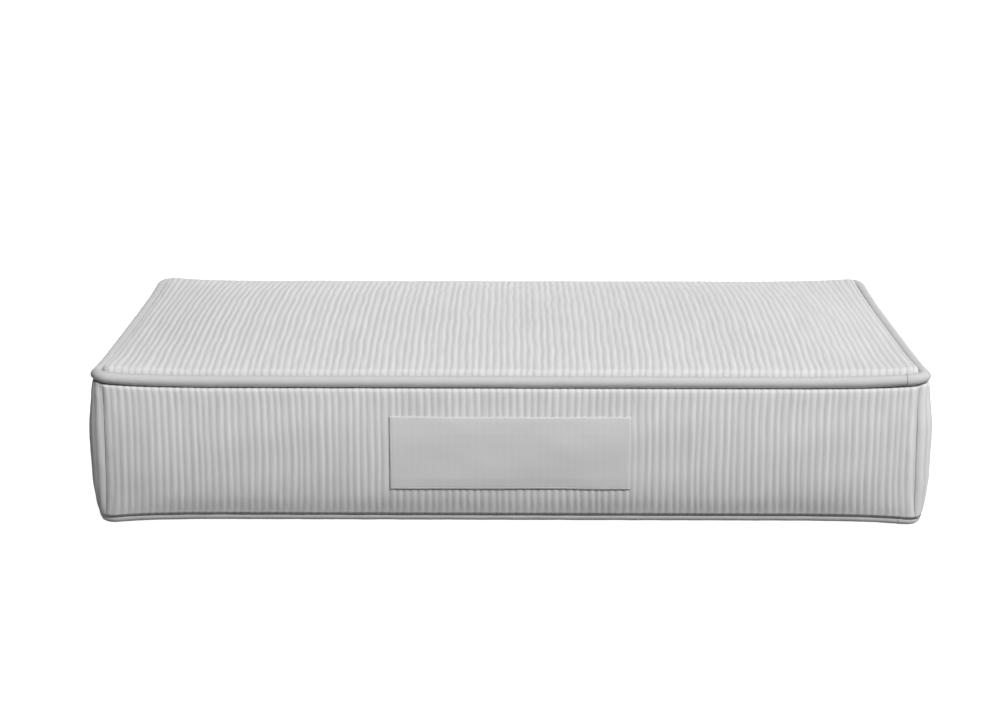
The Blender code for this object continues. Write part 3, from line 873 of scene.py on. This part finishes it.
def addPiping(prefix, top, seed):
    s = piping
    section = pipingSection()
    places, start, whole = pipingPlaces()
    gap = 0.0002
    places = start + gap + (places - start) * (whole - 2 * gap) / whole
    wrinkle = smoothNoise(seed, 9)
    pull = smoothNoise(seed + 1, 5)
    rows = []
    for along in places:
        fromSplice = min(along - start, start + whole - along)
        shown = section[:, 0] > -radius
        angle = np.arctan2(section[:, 1], section[:, 0])
        grow = 1 + shown * s["wrinkle"] / radius * (wrinkle(along / 0.011 + angle * 0.25, angle * 0.4)
                                                    + pull(along / 0.06, angle * 0.3))
        # the strip's folded end lies over its start
        lift = s["spliceLift"] * (1.0 if top else 0.4)
        if along - start < 0.010:
            grow = grow + shown * lift / radius * min(1, (0.010 - (along - start)) / 0.0016)
        elif fromSplice < 0.004:
            grow = grow - shown * 0.3 * lift / radius
        out = section[:, 0] * np.where(shown, grow, 1)
        up = section[:, 1] * np.where(shown, grow, 1)
        x, y = placeOnOutline(np.full(len(out), along), out)
        rows.append(np.stack([x, y, seamHeight(along, top) + up], axis=1))
    sleeve = addSweep(prefix + "_piping_cloth", rows, pipingCloth)
    place(sleeve, "mattress", "piping", prefix + "_piping_sleeve")
    # the strip's width is once round its folded section, along the middle of the cloth
    rows = []
    turns = np.linspace(0, 2 * math.pi, 15, endpoint=False)
    for along in places[2:-2]:
        twist = along / s["strandTurn"] * 2 * math.pi
        size = s["cordRadius"] * (0.90 + 0.10 * np.abs(np.cos((turns - twist) * s["strands"] / 2)))
        x, y = placeOnOutline(np.full(len(turns), along), size * np.cos(turns))
        rows.append(np.stack([x, y, seamHeight(along, top) + size * np.sin(turns)], axis=1))
    cord = addSweep(prefix + "_piping_filler", rows, cordCloth)
    place(cord, "mattress", "cord", prefix + "_piping_cord")


addPiping("top", True, 81)
addPiping("bottom", False, 84)
print("piping made")

# Sewing stitches: each a short rounded bridge of thread, all of a seam in one mesh

thread = {
    "radius": 0.00030,
    "sides": 6,
    # share of its length, size and lift at each ring of a stitch
    "stations": ((0.0, 0.35, -0.6), (0.14, 0.9, 0.1), (0.5, 1.1, 0.45), (0.86, 0.9, 0.1), (1.0, 0.35, -0.6)),
}


def addStitches(name, stitches, slotName):
    # a stitch is its two ends and the direction away from the cloth
    points, faces = [], []
    sides = thread["sides"]
    for start, end, up in stitches:
        start, end, up = (np.array(v, float) for v in (start, end, up))
        along = end - start
        length = np.linalg.norm(along)
        along = along / length
        across = np.cross(along, up)
        across /= np.linalg.norm(across)
        first = len(points)
        for share, size, lift in thread["stations"]:
            centre = start + along * length * share + up * thread["radius"] * lift
            for k in range(sides):
                turn = 2 * math.pi * k / sides
                spoke = across * math.cos(turn) + up * math.sin(turn)
                points.append(centre + spoke * thread["radius"] * size)
        rings = len(thread["stations"])
        for ring in range(rings - 1):
            for k in range(sides):
                a = first + ring * sides + k
                b = first + ring * sides + (k + 1) % sides
                faces.append([a, b, b + sides, a + sides])
        faces.append([first + k for k in range(sides)])
        faces.append([first + (rings - 1) * sides + k for k in range(sides)])
    piece = addMesh(name, points, faces, threadCloth)
    place(piece, "mattress", slotName)
    return piece


def stitchRun(start, end, up, pitch, share=0.78):
    # evenly spaced stitches along a straight line
    start, end = np.array(start, float), np.array(end, float)
    length = np.linalg.norm(end - start)
    count = max(1, round(length / pitch))
    step = (end - start) / count
    margin = step * (1 - share) / 2
    return [(start + step * i + margin, start + step * (i + 1) - margin, up) for i in range(count)]


def borderFace(along, drop, start, size, seed, lift):
    # a point at a height above the cloth of a border
    line = np.array(borderProfile)
    out = np.interp(drop, line[:, 1], line[:, 0])
    out = borderOut(out, drop, along, start, size, seed) + lift
    x, y = placeOnOutline(along, out)
    return np.stack([x, y, levelAt(drop, along)], axis=-1)


# Label, sewn flat over the ribs of the front

label = {
    "thickness": 0.0010,
    "lift": 0.00050,  # of its back above the ribs' middle height
    "stitchInset": 0.0024,
    "stitchPitch": 0.0030,
    "telegraph": 0.00010,
}


def addLabel():
    s = label
    low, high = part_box("label_patch")
    columns = np.linspace(low[0], high[0], 173)
    drops = np.linspace(topSeam - high[2], topSeam - low[2], 53)
    x, drop = np.meshgrid(columns, drops)
    along = x + frontStart + longSize / 2
    edge = np.minimum(np.minimum(x - low[0], high[0] - x),
                      np.minimum(drop - drops[0], drops[-1] - drop))
    wave = smoothNoise(91, 8)
    ribs = np.cos((along - frontStart) / longSize * border["longRibs"] * 2 * math.pi)
    lift = s["lift"] + s["telegraph"] * (1.4 * wave(x / 0.07, drop / 0.06) - 0.4 * ribs)
    lift = lift - 0.00040 * np.exp(-((edge - s["stitchInset"]) / 0.0009) ** 2)
    lift = lift - 0.00025 * np.exp(-edge / 0.0007)
    back = borderFace(along, drop, frontStart, longSize, 31, lift)
    rows, columnCount = x.shape
    front = back + np.array([0.0, -s["thickness"], 0.0])
    marks = everyMarks(rows, 4), everyMarks(columnCount, 4)
    piece = addSheet("label_cloth", front, front, -s["thickness"], *marks, labelCloth)
    place(piece, "mattress", "label", "label_patch")
    edges = []
    inset = s["stitchInset"]
    top, bottom = drops[0] + inset, drops[-1] - inset
    left, right = low[0] + inset, high[0] - inset

    def onLabel(px, pd):
        along = np.array(px + frontStart + longSize / 2)
        return borderFace(along, np.array(pd), frontStart, longSize, 31, s["lift"] + s["thickness"] - 0.00035)

    def run(ax, ad, bx, bd):
        count = round(math.hypot(bx - ax, bd - ad) / s["stitchPitch"])
        for i in range(count):
            a = onLabel(ax + (bx - ax) * (i + 0.1) / count, ad + (bd - ad) * (i + 0.1) / count)
            b = onLabel(ax + (bx - ax) * (i + 0.9) / count, ad + (bd - ad) * (i + 0.9) / count)
            edges.append((a, b, (0.0, -1.0, 0.0)))

    for corners in ((left, top, right, top), (left, bottom, right, bottom),
                    (left, top, left, bottom), (right, top, right, bottom)):
        run(*corners)
    sewn = addStitches("label_stitching", edges, "label")


addLabel()
print("label made")

# Zip


def addTape(side, name):
    low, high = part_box("zip_tape_" + name)
    slot = low[2] if side > 0 else high[2]
    far = high[2] if side > 0 else low[2]
    y = low[1], high[1]
    xs = np.linspace(low[0], high[0], 241)
    across = np.array([0, 0.06, 0.16, 0.30, 0.38, 0.46, 0.70, 1.0])
    thick = np.array([0.7, 1.0, 1.0, 0.82, 0.82, 1.0, 0.92, 0.55])
    rows = []
    middle = (y[0] + y[1]) / 2
    half = (y[1] - y[0]) / 2
    ripple = smoothNoise(95 + (side > 0), 6)
    for x in xs:
        z = slot + (far - slot) * across
        sway = 0.00006 * ripple(x / 0.02, 0.3)
        front = np.stack([np.full_like(z, x), middle + half * thick * 0.94 + sway, z], axis=1)
        back = np.stack([np.full_like(z, x), middle - half * thick * 0.94 + sway, z], axis=1)[::-1]
        rows.append(np.concatenate([front, back]))
    piece = addSweep("zip_tape_" + name + "_cloth", rows, tapeCloth)
    place(piece, "mattress", "zip_tape", "zip_tape_" + name)


coil = {"pitch": 0.00152, "wire": 0.00034, "steps": 10, "sides": 6, "headOut": 0.00012}


def addCoil(side, name):
    s = coil
    low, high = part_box("zip_coil_" + name)
    loops = int((high[0] - low[0] - 2 * s["wire"]) / s["pitch"])
    near = (low[2] if side > 0 else high[2]) - side * s["headOut"]
    far = high[2] if side > 0 else low[2]
    midZ, halfZ = (near + far) / 2, abs(far - near) / 2 - s["wire"]
    midY, halfY_ = (low[1] + high[1]) / 2, (high[1] - low[1]) / 2 - s["wire"]
    turns = np.arange(loops * s["steps"] + 1) / s["steps"]
    angle = turns * 2 * math.pi
    squared = np.sign(np.cos(angle)) * np.abs(np.cos(angle)) ** 0.75
    path = np.stack([low[0] + s["wire"] + turns * s["pitch"], midY + halfY_ * np.sin(angle),
                     midZ - side * halfZ * squared], axis=1)
    # the head that faces the other coil is thicker, as a moulded tooth is
    size = s["wire"] * (1 + 0.18 * np.clip(np.cos(angle), 0, 1))
    tangent = np.gradient(path, axis=0)
    tangent /= np.linalg.norm(tangent, axis=1, keepdims=True)
    lengthways = np.array([1.0, 0.0, 0.0])
    first = np.cross(tangent, lengthways)
    first /= np.linalg.norm(first, axis=1, keepdims=True)
    second = np.cross(tangent, first)
    spin = np.linspace(0, 2 * math.pi, s["sides"], endpoint=False)
    rows = path[:, None, :] + size[:, None, None] * (first[:, None, :] * np.cos(spin)[None, :, None]
                                                    + second[:, None, :] * np.sin(spin)[None, :, None])
    piece = addSweep("zip_coil_" + name + "_loops", rows, coilPlastic)
    place(piece, "mattress", "zip_coil", "zip_coil_" + name)


def roundedPlate(outlinePoints, low, high, bevel, segments=3):
    # a closed outline in X and Z carried in Y, its rims rounded
    work = bmesh.new()
    lower = [work.verts.new((x, low, z)) for x, z in outlinePoints]
    face = work.faces.new(lower)
    grown = bmesh.ops.extrude_face_region(work, geom=[face])
    moved = [v for v in grown["geom"] if isinstance(v, bmesh.types.BMVert)]
    bmesh.ops.translate(work, verts=moved, vec=(0, high - low, 0))
    bmesh.ops.recalc_face_normals(work, faces=work.faces)
    rims = [e for e in work.edges if abs(e.verts[0].co.y - e.verts[1].co.y) < 1e-7]
    bmesh.ops.bevel(work, geom=rims, offset=bevel, segments=segments, profile=0.5, affect="EDGES")
    mesh = bpy.data.meshes.new("plate")
    work.to_mesh(mesh)
    work.free()
    return mesh


def roundedOutline(points, size, steps=5):
    # each corner of an outline replaced by a curve
    result = []
    count = len(points)
    for i in range(count):
        before, here, after = (np.array(points[k % count], float) for k in (i - 1, i, i + 1))
        back, on = before - here, after - here
        reach = min(size, np.linalg.norm(back) * 0.45, np.linalg.norm(on) * 0.45)
        a = here + back / np.linalg.norm(back) * reach
        b = here + on / np.linalg.norm(on) * reach
        for t in np.linspace(0, 1, steps):
            result.append(tuple((1 - t) ** 2 * a + 2 * t * (1 - t) * here + t * t * b))
    return result


def joined(name, meshes, material):
    points, faces = [], []
    for mesh in meshes:
        first = len(points)
        points += [tuple(v.co) for v in mesh.vertices]
        faces += [[first + i for i in polygon.vertices] for polygon in mesh.polygons]
    piece = addMesh(name, points, faces, material)
    piece.data.set_sharp_from_angle(angle=math.radians(35))
    return piece


slider = {
    "plate": 0.0015,
    "bevel": 0.0004,
    "flangeDepth": 0.0019,
    "flangeThickness": 0.0007,
    "bridge": 0.0010,
    "bridgeThickness": 0.0010,
    "bridgeReach": 0.0032,  # half of its length
    # round the bridge's section: shares of its half thickness and of its half width
    "bridgeSection": ((1, -0.7), (1, 0.7), (0.5, 1), (-0.5, 1), (-1, 0.7), (-1, -0.7), (-0.5, -1), (0.5, -1)),
}


def addSlider():
    s = slider
    low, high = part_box("zip_slider")
    cx, cz = (low[0] + high[0]) / 2, (low[2] + high[2]) / 2
    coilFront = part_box("zip_coil_upper")[1][1]
    plateLow = coilFront + 0.0003
    plateTop = plateLow + s["plate"]
    half = (high[2] - low[2]) / 2
    # narrow behind and wide in front, where the two coils part
    shape = [(-0.0065, -0.76), (-0.0030, -0.84), (0.0010, -1.0), (0.0050, -1.0), (0.0065, -0.62),
             (0.0065, 0.62), (0.0050, 1.0), (0.0010, 1.0), (-0.0030, 0.84), (-0.0065, 0.76)]
    plan = roundedOutline([(cx + x, cz + z * half) for x, z in shape], 0.0016)
    meshes = [roundedPlate(plan, plateLow, plateTop, s["bevel"])]
    inner = roundedOutline([(cx + x * 0.93, cz + z * half * 0.86) for x, z in shape], 0.0014)
    meshes.append(roundedPlate(inner, low[1], low[1] + s["plate"], s["bevel"]))
    for side in (-1, 1):
        rail = [(-0.0058, 0.80), (-0.0028, 0.86), (0.0010, 0.985), (0.0048, 0.985)]
        width = s["flangeThickness"] / half
        strip = [(cx + x, cz + side * z * half) for x, z in rail]
        strip += [(cx + x, cz + side * (z - width) * half) for x, z in rail[::-1]]
        meshes.append(roundedPlate(strip, plateLow - s["flangeDepth"], plateLow + 0.0004, 0.00018, 2))
    web = roundedOutline([(cx + 0.0015, cz - 0.00062), (cx + 0.0058, cz - 0.00062),
                          (cx + 0.0058, cz + 0.00062), (cx + 0.0015, cz + 0.00062)], 0.0005, 3)
    meshes.append(roundedPlate(web, low[1] + s["plate"] - 0.0004, plateLow + 0.0005, 0.0001, 1))
    # the arch that holds the pull
    half = s["bridgeThickness"] / 2
    foot = plateTop - 0.0004
    rows = []
    for t in np.linspace(0, math.pi, 15):
        x = cx - s["bridgeReach"] * math.copysign(abs(math.cos(t)) ** 0.55, math.cos(t))
        y = foot + (high[1] - half - foot) * math.sin(t) ** 0.55
        slope = np.array([math.sin(t), 0.8 * math.cos(t)])
        slope *= half / np.linalg.norm(slope)
        wide = s["bridge"] * (0.92 + 0.10 * abs(math.cos(t)))
        rows.append([(x - slope[1] * a, y + slope[0] * a, cz + wide * b) for a, b in s["bridgeSection"]])
    arch = addSweep("bridge", rows, zipMetal)
    meshes.append(arch.data)
    piece = joined("zip_slider_body", meshes, zipMetal)
    bpy.data.objects.remove(arch)
    place(piece, "slider", "zip_metal", "zip_slider")


def addPull():
    low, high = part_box("zip_pull")
    cz = (low[2] + high[2]) / 2
    left, right = low[0], high[0]
    half = (high[2] - low[2]) / 2
    plan = [(right, -0.0030), (right - 0.0062, -0.0030), (right - 0.0085, -0.0024), (right - 0.0115, -0.0028),
            (right - 0.0150, -half), (left + 0.0010, -half), (left, -0.0026)]
    plan = plan + [(x, -z) for x, z in plan[::-1]]
    plan = roundedOutline([(x, cz + z) for x, z in plan], 0.0018)
    mesh = roundedPlate(plan, low[1], high[1], 0.0003)
    pull = addMesh("zip_pull_tab", [tuple(v.co) for v in mesh.vertices],
                   [list(p.vertices) for p in mesh.polygons], zipMetal)
    # an opening round the slider's arch, and a smaller one to hold it by
    openings = ([(right - 0.0012, -0.0018), (right - 0.0056, -0.0018), (right - 0.0056, 0.0018),
                 (right - 0.0012, 0.0018)],
                [(left + 0.0030, -0.0016), (left + 0.0088, -0.0016), (left + 0.0088, 0.0016),
                 (left + 0.0030, 0.0016)])
    for number, opening in enumerate(openings):
        shape = roundedOutline([(x, cz + z) for x, z in opening], 0.0014 if number else 0.0008)
        cutMesh = roundedPlate(shape, low[1] - 0.002, high[1] + 0.002, 0.0001, 1)
        cutter = bpy.data.objects.new(f"pull_opening_{number}", cutMesh)
        bpy.context.scene.collection.objects.link(cutter)
        step = pull.modifiers.new("opening", "BOOLEAN")
        step.operation = "DIFFERENCE"
        step.solver = "EXACT"
        step.object = cutter
    made = bpy.data.meshes.new_from_object(pull.evaluated_get(bpy.context.evaluated_depsgraph_get()))
    pull.modifiers.clear()
    pull.data = made
    for number in range(len(openings)):
        bpy.data.objects.remove(bpy.data.objects[f"pull_opening_{number}"])
    pull.data.set_sharp_from_angle(angle=math.radians(35))
    place(pull, "pull", "zip_metal", "zip_pull")


def addStops():
    for node in ("zip_end_stop", "zip_top_stop_upper", "zip_top_stop_lower"):
        low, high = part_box(node)
        corners = [(low[0], low[2]), (high[0], low[2]), (high[0], high[2]), (low[0], high[2])]
        mesh = roundedPlate(roundedOutline(corners, 0.0008), low[1], high[1], 0.0003)
        piece = joined(node + "_metal", [mesh], zipMetal)
        place(piece, "mattress", "zip_metal", node)


def addEndTab(name):
    node = "zip_end_tab_" + name
    low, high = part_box(node)
    xs = np.linspace(low[0], high[0], 27)
    zs = np.linspace(high[2], low[2], 27)
    x, z = np.meshgrid(xs, zs)
    edge = np.minimum(np.minimum(x - low[0], high[0] - x), np.minimum(z - low[2], high[2] - z))
    puff = 0.00022 * np.clip(edge / 0.004, 0, 1) - 0.00030 * np.exp(-((edge - 0.003) / 0.0009) ** 2)
    y = high[1] - 0.00025 + puff - 0.0002 * np.exp(-edge / 0.0006)
    face = np.stack([x, y, z], axis=2)
    piece = addSheet(node + "_cloth", face, np.stack([x, np.full_like(x, high[1] - 0.0002), z], axis=2),
                     -(high[1] - low[1] - 0.0002), everyMarks(27, 2), everyMarks(27, 2), tapeCloth)
    place(piece, "mattress", "end_tab", node)
    inset, level, up = 0.003, high[1] - 0.00035, (0.0, 1.0, 0.0)
    a, b = low[0] + inset, high[0] - inset
    c, d = low[2] + inset, high[2] - inset
    lines = (((a, c), (b, c)), ((b, c), (b, d)), ((b, d), (a, d)), ((a, d), (a, c)), ((a, c), (b, d)),
             ((a, d), (b, c)))
    stitches = []
    for (x0, z0), (x1, z1) in lines:
        stitches += stitchRun((x0, level, z0), (x1, level, z1), up, 0.0026)
    sewn = addStitches(node + "_stitching", stitches, "end_tab")


def addHemStitches():
    for side, name in ((-1, "upper"), (1, "lower")):
        half = zipper["halfLength"] - zipper["closing"]
        count = round(2 * half / zipper["stitchPitch"])
        stitches = []
        drop = np.array(edgeHeight / 2 + side * (zipper["channelHalf"] + zipper["stitchInset"]))
        middle = backStart + longSize / 2
        for i in range(count):
            ends = []
            for share in (0.12, 0.88):
                along = np.array(middle - half + 2 * half * (i + share) / count)
                ends.append(borderFace(along, drop, backStart, longSize, 61, -0.00055))
            stitches.append((ends[0], ends[1], (0.0, 1.0, 0.0)))
        addStitches("hem_stitching_" + name, stitches, "ribbed_cover")


for side, name in ((1, "upper"), (-1, "lower")):
    addTape(side, name)
    addCoil(side, name)
addSlider()
addPull()
addStops()
addEndTab("left")
addEndTab("right")
addHemStitches()
print("zip made")

# Filling: three foam layers in a knitted liner

filling = {
    "linerWall": 0.0012,
    "foamGap": 0.0005,
    "softEdge": 0.0012,
    "mouthHalf": 0.008,  # half the height of the liner's opening, behind the zip
    "mouthShare": 0.70,
    "run": 64,
    "shortRun": 30,
    "arc": 9,
    "smallCorner": 0.004,
}


def fillingStations():
    # side, share along its straight run, turn round the corner that follows
    stations = []
    for side in range(4):
        count = filling["run"] if side % 2 == 0 else filling["shortRun"]
        stations += [(side, share, 0.0) for share in np.linspace(-1, 1, count)]
        stations += [(side, 1.0, turn) for turn in np.linspace(0, math.pi / 2, filling["arc"] + 2)[1:-1]]
    return stations


stationList = fillingStations()


def fillingRing(out, z):
    # a closed ring at a distance out from the piping's middle line; out may differ by station
    points = []
    for number, (side, share, turn) in enumerate(stationList):
        n = out[number] if np.ndim(out) else out
        r = max(outline["cornerRadius"] + n, filling["smallCorner"])
        spanX, spanY = halfX + n - r, halfY + n - r
        heading = side * math.pi / 2
        ux, uy = math.cos(heading), math.sin(heading)
        ox, oy = uy, -ux
        along = share * (spanX if side % 2 == 0 else spanY)
        across = spanY if side % 2 == 0 else spanX
        x = ux * along + ox * across + (ox * math.cos(turn) + ux * math.sin(turn)) * r
        y = uy * along + oy * across + (oy * math.cos(turn) + uy * math.sin(turn)) * r
        points.append((x, y, z[number] if np.ndim(z) else z))
    return np.array(points)


def cornerShare():
    # 1 at the middle of each corner, falling away along the sides
    ring = fillingRing(0.0, 0.0)
    away = np.hypot(np.maximum(halfX - 0.010 - np.abs(ring[:, 0]), 0),
                    np.maximum(halfY - 0.010 - np.abs(ring[:, 1]), 0))
    return np.exp(-(away / 0.075) ** 1.3)


atCorner = cornerShare()
# out from the piping's middle line and drop below the top seam, down the liner's side
linerSide = [(-0.0275, -0.003), (-0.0240, 0.005), (-0.0200, 0.011), (-0.0060, 0.021), (0.0030, 0.032),
             (0.0080, 0.046), (0.0115, 0.062), (0.0132, 0.080), (0.0134, 0.101), (0.0130, 0.124),
             (0.0112, 0.150), (0.0058, 0.172), (-0.0050, 0.186), (-0.0200, 0.191), (-0.0240, 0.197)]
linerTopInsets = (0.240, 0.205, 0.170, 0.135, 0.100, 0.070, 0.048, 0.036)
linerBottomInsets = (0.0270, 0.0360, 0.0520, 0.100, 0.170, 0.240)


def fillingRings(inset):
    # from the middle of the top, down the side, to the middle of the bottom
    rings = []
    for s in linerTopInsets:
        flat = fillingRing(-s, 0.0)
        level = topSeam + crownField(flat[:, 0], flat[:, 1], topPanel["crown"], topPanel["roll"],
                                     topPanel["rollWidth"])
        rings.append(fillingRing(-s - inset * 0.3, level - 0.0062 - inset))
    for out, drop in linerSide:
        slope = 1.0 if out > 0 else 0.6
        pulled = out - inset * slope - 0.0125 * atCorner * np.clip(out / 0.013 + 0.5, 0, 1)
        up = -inset * 0.8 if drop < 0.03 else (inset * 0.8 if drop > 0.18 else 0.0)
        rings.append(fillingRing(pulled, topSeam - drop + up))
    for s, z in zip(linerBottomInsets, (0.0102, 0.0060, 0.0036, 0.0034, 0.0034, 0.0034)):
        rings.append(fillingRing(-s - inset * 0.3, z + inset))
    return np.array(rings)


def cutRings(rings, high, low):
    # the stretch of the stack of rings between two heights
    heights = rings[:, :, 2].mean(axis=1)
    kept = []

    def cross(level):
        for i in range(len(rings) - 1):
            if heights[i] >= level > heights[i + 1]:
                t = (heights[i] - level) / (heights[i] - heights[i + 1])
                ring = rings[i] * (1 - t) + rings[i + 1] * t
                ring[:, 2] = level
                return ring
        return None

    if high is not None:
        kept.append(cross(high))
    for i in range(len(rings)):
        above = high is None or heights[i] < high
        below = low is None or heights[i] > low
        if above and below:
            kept.append(rings[i])
    if low is not None:
        kept.append(cross(low))
    return np.array(kept)


def withSoftEdge(rings, top, bottom):
    # a cut layer's sharp rims are eased, and its flat faces filled in
    ease = np.array([0, 0, filling["softEdge"]])
    shrink, fill = np.array([0.9975, 0.994, 1.0]), np.array([0.7, 0.3, 1.0])
    result = list(rings)
    if top:
        inner = rings[0] * shrink
        result[:1] = [inner * fill, inner, rings[0] - ease]
    if bottom:
        inner = rings[-1] * shrink
        result[-1:] = [rings[-1] + ease, inner, inner * fill]
    return np.array(result)


def addFilling():
    f = filling
    outer = fillingRings(0.0)
    mouthRow = int(np.argmin(np.abs(outer[:, :, 2].mean(axis=1) - zipLevel)))
    # the ring nearest the zip is doubled, and the two are moved to the lips of the mouth
    outer, inner = (np.insert(rings, mouthRow + 1, rings[mouthRow], axis=0)
                    for rings in (outer, fillingRings(f["linerWall"])))
    for rings in (outer, inner):
        rings[mouthRow, :, 2] = zipLevel + f["mouthHalf"]
        rings[mouthRow + 1, :, 2] = zipLevel - f["mouthHalf"]
    rows, count = outer.shape[:2]
    back = [n for n, (side, share, turn) in enumerate(stationList)
            if side == 2 and turn == 0 and abs(share) < f["mouthShare"]]
    first, last = back[0], back[-1]
    offset = rows * count
    faces = []
    for i in range(rows - 1):
        for k in range(count):
            if i == mouthRow and first <= k < last:
                continue
            m = (k + 1) % count
            quad = [i * count + k, i * count + m, (i + 1) * count + m, (i + 1) * count + k]
            faces.append(quad)
            faces.append([offset + v for v in quad[::-1]])
    for base in (0, offset):
        faces.append([base + n for n in range(count)])
        faces.append([base + (rows - 1) * count + n for n in range(count)])
    for k in range(first, last):
        for i in (mouthRow, mouthRow + 1):
            a, b = i * count + k, i * count + k + 1
            faces.append([a, b, offset + b, offset + a])
    for k in (first, last):
        a, b = mouthRow * count + k, (mouthRow + 1) * count + k
        faces.append([a, b, offset + b, offset + a])
    points = np.concatenate([outer.reshape(-1, 3), inner.reshape(-1, 3)])
    liner = addMesh("inner_cover_knit", points, faces, linerCloth)
    place(liner, "mattress", "liner", "inner_cover")
    full = fillingRings(f["linerWall"] + f["foamGap"])
    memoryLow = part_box("memory_foam_layer")[0][2]
    transitionLow, transitionHigh = (v[2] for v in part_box("transition_foam_layer"))
    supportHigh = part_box("support_foam_core")[1][2]
    layers = (
        ("memory_foam_layer", None, memoryLow, memoryFoam, "memory_foam"),
        ("transition_foam_layer", transitionHigh, transitionLow, transitionFoam, "transition_foam"),
        ("support_foam_core", supportHigh, None, supportFoam, "support_foam"),
    )
    for node, top, bottom, material, slotName in layers:
        rings = withSoftEdge(cutRings(full, top, bottom), top is not None, bottom is not None)
        piece = addSweep(node + "_block", rings, material)
        place(piece, "mattress", slotName, node)


addFilling()
print("filling made")

# Floor, camera and light

view = {
    "place": (0.0035, -2.6586, 0.9816),
    "down": 16.812,
    "left": 0.426,
    "lens": 63.72,
}
light = {
    "sky": 0.10,
    "ground": 0.13,
    "lamps": (  # power, place, size
        (1883.0, (4.80, -7.36, 9.59), 5.0),
        (50.0, (6.0, -0.5, 0.8), 3.0),
        (6.0, (-6.0, -1.0, 0.5), 3.0),
        (12.0, (0.0, 4.5, 6.75), 3.0),
        (356.0, (0.0, 8.0, 1.2), 5.0),
    ),
    "floorGlow": 1.0,
}
stage = {"floorHalf": 40.0, "floorLevel": -0.0004, "wallSides": 48, "wallDistance": 30.0, "wallHeight": 12.0}


def addCamera():
    data = bpy.data.cameras.new("camera")
    data.sensor_width = 36.0
    data.sensor_fit = "HORIZONTAL"
    data.lens = view["lens"]
    camera = bpy.data.objects.new("camera", data)
    camera.location = view["place"]
    camera.rotation_euler = (math.radians(90 - view["down"]), 0.0, math.radians(view["left"]))
    bpy.context.scene.collection.objects.link(camera)
    bpy.context.scene.camera = camera


def addLamp(name, power, place, size):
    data = bpy.data.lights.new(name, "AREA")
    data.shape = "DISK"
    data.size = size
    data.energy = power
    lamp = bpy.data.objects.new(name, data)
    lamp.location = place
    toTarget = -np.array(place) + np.array([0.0, 0.0, 0.12])
    flat = math.hypot(toTarget[0], toTarget[1])
    lamp.rotation_euler = (math.atan2(flat, -toTarget[2]), 0.0, math.atan2(-toTarget[0], toTarget[1]))
    lamp.visible_camera = False
    bpy.context.scene.collection.objects.link(lamp)


def addFloor():
    made, nodes, shader = newMaterial("paperFloor", 0.9)
    grain = makeNode(nodes, "TexNoise", Scale=60.0)
    tone = colourRamp(nodes, ((0.3, (0.24, 0.24, 0.24)), (0.7, (0.26, 0.26, 0.26))))
    linkAll(made.node_tree, ((grain, "Fac", tone, "Fac"), (tone, "Color", shader, "Base Color")))
    shader.inputs["Emission Color"].default_value = (1, 1, 1, 1)
    shader.inputs["Emission Strength"].default_value = light["floorGlow"]
    size = stage["floorHalf"]
    points = [(x * size, y * size, stage["floorLevel"]) for x, y in ((-1, -1), (1, -1), (1, 1), (-1, 1))]
    floor = addMesh("floor", points, [[0, 1, 2, 3]], made, outward=False)
    # a round white wall behind everything, so that low views have no horizon
    sides, distance, height = stage["wallSides"], stage["wallDistance"], stage["wallHeight"]
    turns = [2 * math.pi * k / sides for k in range(sides)]
    points = [(distance * math.cos(a), distance * math.sin(a), z) for z in (-0.5, height) for a in turns]
    faces = [[k, (k + 1) % sides, sides + (k + 1) % sides, sides + k] for k in range(sides)]
    wall = addMesh("backdrop", points, faces, made, outward=False)
    wall.visible_shadow = False
    wall.visible_glossy = False
    for piece in (floor, wall):
        piece.visible_diffuse = False  # the glow doesn't light the mattress


def addWorld():
    # slightly brighter from below than from above
    world = bpy.data.worlds.new("studio")
    world.use_nodes = True
    nodes = world.node_tree.nodes
    direction = makeNode(nodes, "TexCoord")
    parts = makeNode(nodes, "SeparateXYZ")
    level = makeNode(nodes, "MapRange")
    values = (("From Min", -0.12), ("From Max", 0.12), ("To Min", light["ground"]), ("To Max", light["sky"]))
    for socket, value in values:
        level.inputs[socket].default_value = value
    background = nodes["Background"]
    linkAll(world.node_tree, (
        (direction, "Generated", parts, 0), (parts, "Z", level, "Value"),
        (level, 0, background, "Strength")))
    background.inputs["Color"].default_value = (1.0, 1.0, 1.0, 1.0)
    bpy.context.scene.world = world


addCamera()
for number, lamp in enumerate(light["lamps"]):
    addLamp("lamp" + str(number + 1), *lamp)
addFloor()
addWorld()
bpy.context.scene.view_settings.view_transform = "Standard"
print("stage made")
